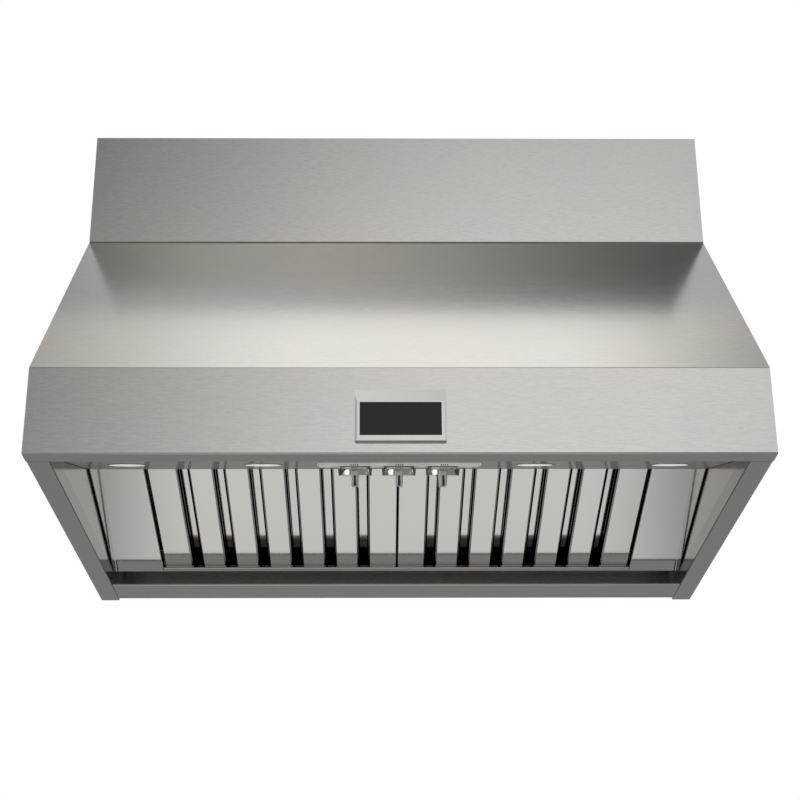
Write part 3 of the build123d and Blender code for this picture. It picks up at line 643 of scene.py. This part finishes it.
@dataclass
class Studio:
    """Camera at the photograph's place, plain soft light and a pale floor."""

    eye: Triple = (-0.0244, -2.5142, -1.0912)
    yaw: float = 0.72
    pitch: float = 23.02
    roll: float = 0.29
    focal_px: float = 1675.2
    frame_px: int = 800
    sensor: float = 36.0
    clip: Pair = (0.05, 200.0)
    plain_light: float = 0.55
    floor_z: float = -2.9
    floor_size: float = 40.0
    floor_tones: tuple[Triple, Triple] = ((0.84, 0.84, 0.83), (0.86, 0.86, 0.85))
    floor_cloud: float = 0.7
    lamp_size: float = 1.8
    lamp_aim: Triple = (0.0, -0.3, 0.0)
    lamp_places: tuple[tuple[str, Triple, float], ...] = (
        ("key", (-1.6, -2.6, 1.6), 22.0), ("fill", (2.4, -2.2, 0.6), 14.0),
        ("under", (0.0, -1.6, -2.2), 10.0))

    def camera(self) -> None:
        """Place the camera."""
        yaw, pitch, roll = radians(self.yaw), radians(self.pitch), radians(self.roll)
        forward = Vector((sin(yaw) * cos(pitch), cos(yaw) * cos(pitch), sin(pitch)))
        level = Vector((cos(yaw), -sin(yaw), 0.0))
        down = -level.cross(forward)
        right = level * cos(roll) + down * sin(roll)
        up = right.cross(forward)
        data = bpy.data.cameras.new("photo_camera")
        data.sensor_width = self.sensor
        data.lens = self.focal_px / self.frame_px * self.sensor
        data.clip_start, data.clip_end = self.clip
        camera = bpy.data.objects.new("photo_camera", data)
        camera.matrix_world = moved(*self.eye) @ Matrix((right, up, -forward)).transposed().to_4x4()
        bpy.context.scene.collection.objects.link(camera)
        bpy.context.scene.camera = camera

    def world(self) -> None:
        """White where the camera, metal and glass look, and a plain light on everything else."""
        world = bpy.data.worlds.new("studio_world")
        bpy.context.scene.world = world
        board = Board(world)
        path = board.add("ShaderNodeLightPath")
        camera, glossy, through = (Value(board, path.outputs[f"Is {kind} Ray"])
                                   for kind in ("Camera", "Glossy", "Transmission"))
        strength = (camera + glossy + through).ramp(0.0, 1.0, self.plain_light, 1.0)
        background = board.add("ShaderNodeBackground", Color=(1.0, 1.0, 1.0, 1.0), Strength=strength)
        board.add("ShaderNodeOutputWorld", Surface=background.outputs["Background"])

    def floor(self) -> None:
        """Lay the pale floor below the camera."""
        deselect()
        bpy.ops.mesh.primitive_plane_add(size=self.floor_size, location=(0, 0, self.floor_z))
        floor = bpy.context.object
        floor.name = "studio_floor"
        material = bpy.data.materials.new("pale_floor")
        board = Board(material)
        cloud = board.noise(self.floor_cloud, 2.0).ramp(*MEDIUM)
        tone = board.blend(cloud, *self.floor_tones)
        board.surface(Roughness=0.9, Specular_IOR_Level=0.1, Base_Color=tone)
        dress(floor, material)
        floor.visible_glossy = False

    def lamps(self) -> None:
        """Hang large soft lamps around the front, which metal doesn't mirror."""
        for name, place, power in self.lamp_places:
            data = bpy.data.lights.new(f"{name}_lamp", "AREA")
            data.energy = power
            data.size = self.lamp_size
            lamp = bpy.data.objects.new(f"{name}_lamp", data)
            turn = (Vector(self.lamp_aim) - Vector(place)).to_track_quat("-Z", "Y")
            lamp.matrix_world = moved(*place) @ turn.to_matrix().to_4x4()
            lamp.visible_glossy = False
            bpy.context.scene.collection.objects.link(lamp)

    def build(self) -> None:
        """Set up the whole studio, with what the metal mirrors."""
        bpy.context.scene.view_settings.view_transform = "Standard"
        self.camera()
        self.world()
        self.floor()
        Surround().build()
        self.lamps()


@dataclass
class Surround:
    """Glowing shell and cards that only metal mirrors. Each ramp is a span, and what it goes from and to."""

    radius: float = 9.0
    high_tint: Triple = (1.0, 0.985, 0.935)
    low_tint: Triple = (1.0, 0.993, 0.975)
    slant: float = 0.22
    slant_level: float = 0.39
    front_x: Ramp = (-0.38, 0.08, 0.2, 0.965)
    front_left_x: Ramp = (-0.75, -0.45, 0.35, 0.0)
    front_right_x: Ramp = (0.16, 0.32, 1.0, 0.87)
    front_high_z: Ramp = (0.38, 0.62, 1.0, 0.66)
    wall_z: Ramp = (0.0, 0.4, 0.75, 0.9)
    above_left_x: Ramp = (-0.325, -0.045, 0.0, 0.76)
    above_right_x: Ramp = (0.12, 0.32, 1.0, 0.0)
    above_least: float = 0.45
    above_front_x: Ramp = (-0.29, -0.125, 0.5, 1.0)
    above_front_hump: Ramp = (-0.06, 0.3, 0.55, 0.15)
    below_hump: Triple = (-0.05, 0.4, 0.12)
    below_z: Ramp = (-0.98, -0.9, 0.41, 0.26)
    patch_left_x: Ramp = (-0.262, -0.135, 0.3, 1.0)
    patch_right_x: Ramp = (0.145, 0.275, 1.0, 0.3)
    patch_tone: float = 0.81
    patch_z: Ramp = (-0.72, -0.52, 1.0, 0.0)
    patch_y: Ramp = (0.25, 0.5, 0.0, 1.0)
    ground: float = 0.25
    box_x: Ramp = (-0.64, -0.58, 1.0, 0.0)
    box_y: Ramp = (-0.45, 0.12, 1.15, 0.1)
    box_low_z: Ramp = (-0.7, -0.5, 0.0, 1.0)
    box_high_z: Ramp = (-0.05, 0.1, 1.0, 0.0)
    high_box_z: Pair = (0.82, 0.1)
    high_box_y: Ramp = (-0.55, -0.47, 0.35, 0.0)
    to_wall: Pair = (-0.1, 0.1)
    to_top: Pair = (0.6, 0.8)
    to_sky: Pair = (-0.08, 0.12)
    flag_rise: float = 0.114
    flag_margin: float = 0.35
    flag_gap: float = 2 * MM
    flag_edge: float = 5 * MM
    flag_tone: float = 0.68
    flag_beside: Pair = (0.14, 0.45)
    flag_share: Pair = (0.39, 0.02)
    trough_tone: float = 0.26
    trough_lift: float = 1.7 * MM
    trough_margin: Pair = (2 * MM, 2.2 * MM)

    def own(self, thing: Thing, name: str) -> Board:
        """Name an object, give it an empty material, and hide it from the camera, diffuse rays, transmission and
        shadows.

        Args:
            thing: the object.
            name: its name.

        Returns:
            The board of its empty material.
        """
        thing.name = name
        material = bpy.data.materials.new(f"{name}_glow")
        material.cycles.emission_sampling = "NONE"
        dress(thing, material)
        for kind in ("camera", "diffuse", "transmission", "shadow"):
            setattr(thing, f"visible_{kind}", False)
        return Board(material)

    def shell(self) -> None:
        """Put up the shell: soft boxes in front and above, and a shaded ground."""
        deselect()
        bpy.ops.mesh.primitive_uv_sphere_add(segments=64, ring_count=32, radius=self.radius)
        board = self.own(bpy.context.object, "studio_surround")
        around = board.add("ShaderNodeVectorMath", board.place(), setup={"operation": "NORMALIZE"})
        x, y, z = board.split(around.outputs["Vector"])
        board.glow(Strength=self.tone(x, y, z),
                   Color=board.blend(z.ramp(*self.to_top), self.low_tint, self.high_tint))

    def tone(self, x: Value, y: Value, z: Value) -> Value:
        """Brightness of the shell in each direction.

        Args:
            x: share of the direction to the right.
            y: share of the direction to the wall.
            z: share of the direction upwards.

        Returns:
            The brightness, where 1 is white.
        """
        across = x - (z - self.slant_level) * self.slant
        front = across.ramp(*self.front_x) + x.ramp(*self.front_left_x)
        front = front * x.ramp(*self.front_right_x) * z.ramp(*self.front_high_z)
        above_back = x.ramp(*self.above_left_x) * x.ramp(*self.above_right_x) + self.above_least
        middle, span, rise = self.below_hump
        below_front = x.bell(middle, span) * rise + z.ramp(*self.below_z)
        patch = x.ramp(*self.patch_left_x) * x.ramp(*self.patch_right_x) * self.patch_tone - self.ground
        below_back = patch * z.ramp(*self.patch_z) * y.ramp(*self.patch_y) + self.ground
        back = y.ramp(*self.to_wall)
        below = below_front.towards(below_back, back)
        above = self.above_front(x).towards(above_back, back)
        sky = front.towards(z.ramp(*self.wall_z), back).towards(above, z.ramp(*self.to_top))
        box = x.ramp(*self.box_x) * y.ramp(*self.box_y) * z.ramp(*self.box_low_z) * z.ramp(*self.box_high_z)
        high_box = z.bell(*self.high_box_z) * y.ramp(*self.high_box_y)
        return below.towards(sky, z.ramp(*self.to_sky)) + box + high_box

    def above_front(self, x: Value) -> Value:
        """Brightness high in front, by the share of the direction to the right."""
        middle, span, rise, least = self.above_front_hump
        return (x.bell(middle, span) * rise + least) * x.ramp(*self.above_front_x)

    def card(self, name: str, middle: Vector, size: Pair, turn: float = 0.0) -> Board:
        """Put up a card.

        Args:
            name: name of the card.
            middle: where its middle is.
            size: its two lengths, the first across the hood.
            turn: angle about its first side, which is 0 where it lies.

        Returns:
            The board of its empty material.
        """
        deselect()
        bpy.ops.mesh.primitive_plane_add(size=1.0, rotation=(turn, 0, 0), location=middle)
        bpy.context.object.scale = (*size, 1.0)
        return self.own(bpy.context.object, name)

    def flag(self) -> None:
        """Stand a card behind the chimney's front, above and beside it, for the sloped sheet to mirror."""
        low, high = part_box("chimney_front")
        width, rise = high.x - low.x + 2 * self.flag_margin, high.z - low.z + self.flag_rise
        middle = Vector(((low.x + high.x) / 2, low.y + self.flag_gap, low.z + rise / 2))
        board = self.card("studio_flag", middle, (width, rise), pi / 2)
        x = board.split(board.add("ShaderNodeNewGeometry").outputs["Position"])[0]
        left, right = self.flag_beside
        beside = (x.ramp(high.x - self.flag_edge, high.x + self.flag_edge, 0.0, right)
                  + x.ramp(low.x - self.flag_edge, low.x + self.flag_edge, left, 0.0))
        factor, shift = self.flag_share
        board.glow(Strength=self.above_front(x * factor + shift) * self.flag_tone + beside)

    def trough_card(self) -> None:
        """Lay a card in the grease trough, for the filters' rear ends to mirror."""
        low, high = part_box("grease_trough")
        middle = (low + high) / 2
        middle.z = low.z + self.trough_lift
        side, end = self.trough_margin
        size = (high.x - low.x - 2 * side, high.y - low.y - 2 * end)
        self.card("studio_trough_card", middle, size).glow(Strength=self.trough_tone)

    def build(self) -> None:
        """Put up the shell and both cards."""
        self.shell()
        self.flag()
        self.trough_card()


@dataclass
class Casing:
    """Sheets, filters and machinery that keep their modelled shape and get their finish here, with painted shade
    on sheets inside the hood and painted light on the lower slats.
    """

    own_by_side: dict[str, str] = field(default_factory=lambda: {
        "liner_side": "liner_stainless", "filler": "filter_stainless",
        "filter_frame": "lower_slat_stainless", "filter_lower_slats": "lower_slat_stainless",
        "filter_upper_slats": "upper_slat_stainless"})
    own: dict[str, str] = field(default_factory=lambda: {
        "side_panel_left": "left_stainless", "side_panel_right": "right_stainless",
        "lamp_panel": "panel_stainless", "grease_trough": "trough_stainless",
        "control_plate": "plate_satin"})
    # Painted shade in the filters' gaps: the lower slats' faces that don't look down are painted nearly black.
    inside: Facing = Facing(FILTER_UP, -0.5, -0.3, tone=0.03)
    # Painted shade deep in the filters: the lower slats are painted nearly black from 7.5 mm over the filter's
    # lower plane upwards.
    painted_depth_shade: Band = Band((0.0, -0.339, -0.271), FILTER_UP, 7.0 * MM, 7.5 * MM, tone=0.03)
    # Painted shade towards the wall: the upper slats fade to a tenth of their tone over 20 mm around y = -132 mm.
    rear: Band = Band((0.0, -0.132, 0.0), (0.0, 1.0, 0.0), -10 * MM, 10 * MM, tone=0.1)
    # Painted shade in the grease trough: above its bottom face it is painted darker.
    painted_trough_shade: Band = Band((0.0, 0.0, -0.36), UP, 0.4 * MM, 0.9 * MM, tone=0.8)
    # Painted shadow: a thin dark line along the liner where the returns' top edges meet it.
    painted_seam_shadow: Band = Band((0.0, 0.0, -0.336), UP, -0.7 * MM, 0.7 * MM, tone=0.72, line=True)

    def finishes(self) -> Finishes:
        """Make the materials of the record's slots, and of the sheets that need their own.

        Returns:
            The materials by name.
        """
        bright = {"warm": (0.645, 0.628, 0.6), "cool": (0.63, 0.628, 0.61), "roughness": 0.1,
                  "streak": 0.012, "bump": 0.02, "anisotropy": 0.0, "grain": Grain.TO_WALL}
        # Painted light: the lower slats' stainless is painted lighter than the fillers' same steel.
        slats = bright | {"warm": (0.722, 0.7, 0.668), "cool": (0.705, 0.7, 0.68), "edge_tint": 0.1}
        # Painted shade inside the hood: the side panels' faces that look inwards are painted at about half their
        # tone.
        sides = [BrushedSteel(f"{side}_stainless", grain=Grain.TO_WALL,
                              bands=(Facing((inward, 0.0, 0.0), 0.5, 0.7, tone=0.48),))
                 for side, inward in SIDES.items()]
        made = [
            BrushedSteel("brushed_stainless"), *sides,
            # The liner is painted darker than the outer stainless, as painted shade inside the hood.
            BrushedSteel("liner_stainless", grain=Grain.TO_WALL, warm=(0.42, 0.39, 0.36),
                         cool=(0.4, 0.38, 0.36), bands=(self.painted_seam_shadow,)),
            # Painted shade: the lamp panel's stainless is painted far darker and less metallic than the other
            # sheets.
            BrushedSteel("panel_stainless", warm=(0.25, 0.238, 0.22), cool=(0.24, 0.235, 0.225),
                         roughness=0.1, streak=0.01, bump=0.01, anisotropy=0.0, metallic=0.27, level=0.0),
            BrushedSteel("trough_stainless", bands=(self.painted_trough_shade,)),
            BrushedSteel("filter_stainless", **bright),
            BrushedSteel("upper_slat_stainless", **bright, bands=(self.rear,)),
            BrushedSteel("lower_slat_stainless", **slats, bands=(self.inside, self.painted_depth_shade)),
            Galvanised("galvanised_steel"),
            SatinMetal("badge_metal", (0.66, 0.655, 0.64), 0.16),
            Coated("badge_blank", (0.012, 0.012, 0.0125), 0.3, Coat.PAINTED, shine=0.3),
            SatinMetal("knob_metal", (0.7, 0.69, 0.67), 0.07),
            Coated("plate_satin", (0.86, 0.85, 0.82), 0.5),
            Coated("black_plastic", (0.02, 0.02, 0.021), 0.55),
            SatinMetal("shaft_steel", (0.55, 0.55, 0.55), 0.22),
            SatinMetal("lamp_metal", (0.45, 0.44, 0.43), 0.2),
            LitGlass("lamp_glass", glow=0.32),
            SatinMetal("damper_aluminium", (0.72, 0.73, 0.74), 0.3),
            Coated("motor_paint", (0.03, 0.03, 0.034), 0.4, Coat.PAINTED),
            Coated("driver_white", (0.78, 0.78, 0.76), 0.5),
            SatinMetal("capacitor_grey", (0.62, 0.63, 0.64), 0.35),
        ]
        return {finish.name: finish.material() for finish in made}

    def build(self) -> Finishes:
        """Dress every node.

        Returns:
            The materials by name, for the new pieces.
        """
        made = self.finishes()
        both = {f"{node}_{side}": slot for node, slot in self.own_by_side.items() for side in SIDES}
        own = self.own | both
        for entry in frame["record"]["subparts"]:
            node = frame["nodes"][entry["node"]]
            material = made[own.get(entry["node"], entry["material_slot"])]
            for place in node.material_slots:
                place.material = material
            if not node.material_slots:
                node.data.materials.append(material)
        return made


@dataclass
class Knobs:
    """Three turned knobs: a polished drum with a slight draft, and a grip with a dark groove."""

    finishes: Finishes
    names: tuple[str, ...] = ("left", "centre", "right")
    draft: float = 0.95 * MM
    edge: float = 0.35 * MM
    grip_width: float = 10.2 * MM
    grip_taper: float = 0.88
    grip_front: float = 23.6 * MM
    grip_back: float = 19.0 * MM
    tip_edge: float = 0.8 * MM
    groove_width: float = 2.8 * MM
    groove_depth: float = 0.8 * MM
    groove_rim: float = 0.2 * MM
    inlay_foot: float = 0.6 * MM
    inlay_top: float = 0.4 * MM
    inlay_play: float = 0.25 * MM

    def drum(self, low: float, high: float, radius: float) -> Thing:
        """Model the drum.

        Args:
            low: height of its foot over the panel.
            high: height of its face.
            radius: radius of its foot.

        Returns:
            The drum.
        """
        lengths = (2 * radius, 2 * radius, high - low)
        drum = Workpiece("knob_drum", (0, 0, (low + high) / 2), lengths, sides=96)
        drum.pick(lambda middle, normal: normal.z > 0.9)
        share = 1 - self.draft / radius
        bpy.ops.transform.resize(value=(share, share, 1))
        drum.soften(lambda middle, way: hypot(middle.x, middle.y) > radius * 0.9 and abs(way.z) < 0.1,
                    self.edge, 3)
        drum.pick(lambda middle, normal: normal.z > 0.99)
        bpy.ops.mesh.inset(thickness=self.edge * 2, depth=0.0)
        return drum.finish()

    def grip(self, low: float, face: float, high: float) -> Thing:
        """Model the grip.

        Args:
            low: height of its foot, inside the drum.
            face: height of the drum's face.
            high: height of its top.

        Returns:
            The grip, with a groove up its front end.
        """
        length = self.grip_front + self.grip_back
        middle_y = (self.grip_front - self.grip_back) / 2
        foot = face - low
        grip = Workpiece("knob_grip", (0, middle_y, low + foot / 2), (self.grip_width, length, foot))
        grip.pick(lambda middle, normal: normal.z > 0.9)
        bpy.ops.mesh.extrude_region_move(TRANSFORM_OT_translate={"value": (0, 0, high - face)})
        bpy.ops.transform.resize(value=(self.grip_taper, (self.grip_taper + 1) / 2, 1),
                                 center_override=(0, middle_y, high))
        half = self.groove_width / 2
        for side in (-half, half):
            grip.cut((side, 0, 0), (1, 0, 0))
        grip.pick(lambda middle, normal: abs(middle.x) < half * 0.9 and normal.y > 0.8 and middle.z > face)
        bpy.ops.mesh.inset(thickness=self.groove_rim, depth=-self.groove_depth)
        grip.soften(lambda middle, way: middle.z > high - 0.1 * MM
                    and (abs(middle.x) > half * 1.2 or abs(way.x) > 0.9), self.tip_edge, 4)
        grip.soften(lambda middle, way: abs(way.z) > 0.8 and abs(middle.x) > half * 1.5, self.tip_edge, 4)
        return grip.finish()

    def inlay(self, face: float, high: float) -> Thing:
        """Model the dark strip in the groove.

        Args:
            face: height of the drum's face.
            high: height of the grip's top.

        Returns:
            The strip, which leans with the grip's front end.
        """
        lean = (self.grip_front + self.grip_back) / 2 * (1 - (self.grip_taper + 1) / 2)
        rise = high - face - self.inlay_foot - self.inlay_top
        front = self.grip_front - self.groove_depth
        width = self.groove_width - 2 * self.inlay_play
        strip = Workpiece("knob_inlay", (0, front, face + self.inlay_foot + rise / 2),
                          (width, self.groove_depth, rise))
        strip.pick(lambda middle, normal: normal.z > 0.9)
        bpy.ops.transform.translate(value=(0, -lean, 0))
        strip.soften(lambda middle, way: abs(way.z) > 0.8 and middle.y > front - lean * 0.5,
                     self.groove_rim, 2)
        return strip.finish()

    def build(self) -> None:
        """Model the knob once and set a copy on each axis."""
        first = knob_axes(self.names[0])
        low, high = reach(f"knob_{self.names[0]}", first)
        face = reach(f"switch_shaft_{self.names[0]}", first)[1].z
        metal = [self.drum(low.z, face, high.x), self.grip(low.z + self.edge, face, high.z)]
        for piece in metal:
            dress(piece, self.finishes["knob_metal"])
        model = joined("knob_model", metal)
        strip = self.inlay(face, high.z)
        dress(strip, self.finishes["black_plastic"])
        kinds = ((model, "turned_knob", "knob_metal"), (strip, "knob_inlay", "black_plastic"))
        for name in self.names:
            for source, kind, slot in kinds:
                piece = copied(source, f"{kind}_{name}", knob_axes(name))
                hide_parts(f"knob_{name}")
                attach(piece, f"knob_{name}_body")
                LOG.info("%s: %d faces", piece.name, len(piece.data.polygons))
        discard(model, strip)


@dataclass
class Lamps:
    """Lenses with a stepped edge and a domed middle."""

    finishes: Finishes
    count: int = 4
    radius: float = 23.4 * MM
    thickness: float = 2.6 * MM
    step: float = 2.4 * MM
    dome: float = 0.35 * MM
    dome_rings: int = 4
    dome_ring: float = 3.2 * MM

    def model(self) -> Thing:
        """Model one lens, lying on its back with its visible face up.

        Returns:
            The lens.
        """
        lengths = (2 * self.radius, 2 * self.radius, self.thickness)
        lens = Workpiece("lens", (0, 0, -self.thickness / 2), lengths, sides=72)
        lens.pick(lambda middle, normal: normal.z > 0.9)
        bpy.ops.mesh.inset(thickness=self.step, depth=0.0)
        bpy.ops.mesh.inset(thickness=self.dome, depth=-self.dome)
        for _ in range(self.dome_rings):
            bpy.ops.mesh.inset(thickness=self.dome_ring, depth=self.dome / 5)
        return lens.finish(60.0)

    def build(self) -> None:
        """Set a lens in each lamp."""
        model = self.model()
        dress(model, self.finishes["lamp_glass"])
        outward = knob_axes("left").col[2].to_3d()
        for number in range(1, self.count + 1):
            low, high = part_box(f"lamp_lens_{number}")
            placement = standing((low + high) / 2, outward)
            top = reach(f"lamp_lens_{number}", placement)[1].z
            lens = copied(model, f"prism_lens_{number}", placement @ moved(0, 0, top))
            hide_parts(f"lamp_lens_{number}")
            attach(lens, "cabinet")
        discard(model)
        LOG.info("%d lenses", self.count)


@dataclass
class Screws:
    """Pan head screws with a cross recess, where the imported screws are."""

    finishes: Finishes
    head_radius: float = 4.6 * MM
    head_height: float = 2.6 * MM
    head_round: float = 1.3 * MM
    shank_radius: float = 2.35 * MM
    shank_length: float = 9.0 * MM
    shank_tip: float = 0.75
    shank_room: float = 4.0 * MM
    recess: float = 1.0 * MM
    recess_depth: float = 0.55

    def model(self) -> Thing:
        """Model one screw with its head's foot at the origin.

        Returns:
            The screw.
        """
        width, height = 2 * self.head_radius, self.head_height
        head = Workpiece("screw_head", (0, 0, height / 2), (width, width, height), sides=40)
        head.soften(lambda middle, way: middle.z > height * 0.9 and abs(way.z) < 0.1, self.head_round, 4)
        half, arm = self.recess / 2, self.head_radius * 0.5
        for away in (half, arm):
            for axis in ((1, 0, 0), (0, 1, 0)):
                for side in (-away, away):
                    head.cut(tuple(side * a for a in axis), axis)
        head.pick(lambda middle, normal: normal.z > 0.9 and (
            abs(middle.x) < half and abs(middle.y) < arm or abs(middle.y) < half and abs(middle.x) < arm))
        depth = height * self.recess_depth
        bpy.ops.mesh.extrude_region_move(TRANSFORM_OT_translate={"value": (0, 0, -depth)})
        top = head.finish()
        width, length = 2 * self.shank_radius, self.shank_length
        shank = Workpiece("screw_shank", (0, 0, -length / 2), (width, width, length), sides=20)
        shank.pick(lambda middle, normal: normal.z < -0.9)
        bpy.ops.transform.resize(value=(self.shank_tip, self.shank_tip, 1))
        return joined("screw", [top, shank.finish()])

    def bodies(self) -> list[list[Vector]]:
        """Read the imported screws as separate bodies.

        Returns:
            The points of each screw.
        """
        shape = bmesh.new()
        shape.from_mesh(frame["nodes"]["cabinet_screws"].data)
        bmesh.ops.remove_doubles(shape, verts=shape.verts, dist=DOUBLES)
        seen, found = set(), []
        for start in shape.verts:
            if start in seen:
                continue
            seen.add(start)
            body = [start]
            for vertex in body:
                for link in vertex.link_edges:
                    other = link.other_vert(vertex)
                    if other not in seen:
                        seen.add(other)
                        body.append(other)
            found.append([vertex.co.copy() for vertex in body])
        shape.free()
        return found

    def place(self, points: list[Vector]) -> Matrix:
        """Find where a screw stands: its long side is its axis, and its wide end is its head.

        Args:
            points: the screw's points.

        Returns:
            The placement of its head's foot, with Z outwards.
        """
        low, high = corners(points)
        size, middle = high - low, (low + high) / 2
        axis = max(range(3), key=lambda i: size[i])
        others = [i for i in range(3) if i != axis]
        wide = [p for p in points if hypot(*((p - middle)[i] for i in others)) > self.shank_room]
        way = 1.0 if sum(p[axis] for p in wide) / len(wide) > middle[axis] else -1.0
        outward = Vector(tuple(way if i == axis else 0.0 for i in range(3)))
        middle[axis] = (high[axis] if way > 0 else low[axis]) - way * self.head_height
        return moved(*middle) @ outward.to_track_quat("Z", "X").to_matrix().to_4x4()

    def build(self) -> None:
        """Set every screw, and join them as one piece."""
        model = self.model()
        dress(model, self.finishes["shaft_steel"])
        copies = [copied(model, "screw_copy", self.place(points)) for points in self.bodies()]
        count = len(copies)
        screws = joined("cross_screws", copies)
        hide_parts("cabinet_screws")
        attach(screws, "cabinet")
        discard(model)
        LOG.info("%d screws", count)


@dataclass
class DialMarks:
    """Plain printed marks: ticks around each knob, and bars on a lip along the plate's front edge."""

    finishes: Finishes
    radius: float = 26.5 * MM
    tick: Pair = (0.7 * MM, 2.6 * MM)
    bar: Pair = (1.2 * MM, 2.3 * MM)
    bar_places: tuple[float, ...] = (-4.2 * MM, -1.4 * MM, 1.4 * MM, 4.2 * MM)
    bar_height: float = 0.55
    lip_rise: float = 3.5 * MM
    lip_sheet: float = 0.8 * MM
    lip_back: float = 0.04 * MM
    proud: float = 0.06 * MM
    corner: float = 0.35
    scales: dict[str, tuple[int, float]] = field(default_factory=lambda: {
        "left": (7, 270.0), "centre": (4, 135.0), "right": (4, 135.0)})

    def lip(self, low: Vector, high: Vector) -> Thing:
        """Model the lip that carries the bars, in a knob's axes.

        Args:
            low: lowest corner of the plate.
            high: highest corner of the plate.

        Returns:
            The lip, with its outer edges rounded.
        """
        middle = ((low.x + high.x) / 2, high.y - self.lip_back - self.lip_sheet / 2,
                  high.z + self.lip_rise / 2)
        lip = Workpiece("lip", middle, (high.x - low.x, self.lip_sheet, self.lip_rise))
        lip.soften(lambda middle, way: middle.z > high.z + self.lip_rise * 0.9, self.lip_sheet * 0.3, 2)
        return lip.finish()

    def build(self) -> None:
        """Set the lip on the plate, and the marks on both."""
        models = []
        for size in (self.tick, self.bar):
            mark = Workpiece("mark", (0, 0, self.proud / 2), (*size, self.proud))
            mark.soften(lambda middle, way: abs(way.z) > 0.9, min(size) * self.corner, 3)
            models.append(mark.finish())
            dress(models[-1], self.finishes["black_plastic"])
        tick, bar = models
        copies = []
        for name, (count, sweep) in self.scales.items():
            axes = knob_axes(name)
            low, high = reach("control_plate", axes)
            for index in range(count):
                turn = Matrix.Rotation(-radians(sweep) * index / (count - 1), 4, "Z")
                spot = moved(0, 0, high.z) @ turn @ moved(0, self.radius, 0)
                copies.append(copied(tick, "tick_copy", axes @ spot))
            on_lip = moved(0, high.y - self.lip_back, high.z + self.lip_rise * self.bar_height)
            upright = axes @ on_lip @ Matrix.Rotation(-pi / 2, 4, "X")
            copies += [copied(bar, "bar_copy", upright @ moved(place, 0, 0)) for place in self.bar_places]
        plain = self.lip(low, high)
        dress(plain, self.finishes["plate_satin"])
        lip = copied(plain, "label_lip", axes)
        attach(lip, "cabinet")
        marks = joined("dial_marks", copies)
        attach(marks, "cabinet")
        discard(plain, tick, bar)
        LOG.info("dial marks: %d faces", len(marks.data.polygons))


def main() -> None:
    """Build the studio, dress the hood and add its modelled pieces."""
    logging.basicConfig(level=logging.INFO, format="%(name)s: %(message)s")
    Studio().build()
    LOG.info("studio set")
    finishes = Casing().build()
    LOG.info("%d nodes dressed", len(frame["nodes"]))
    for kind in (Knobs, Lamps, DialMarks, Screws):
        kind(finishes).build()
    deselect()


if __name__ == "__main__":
    main()
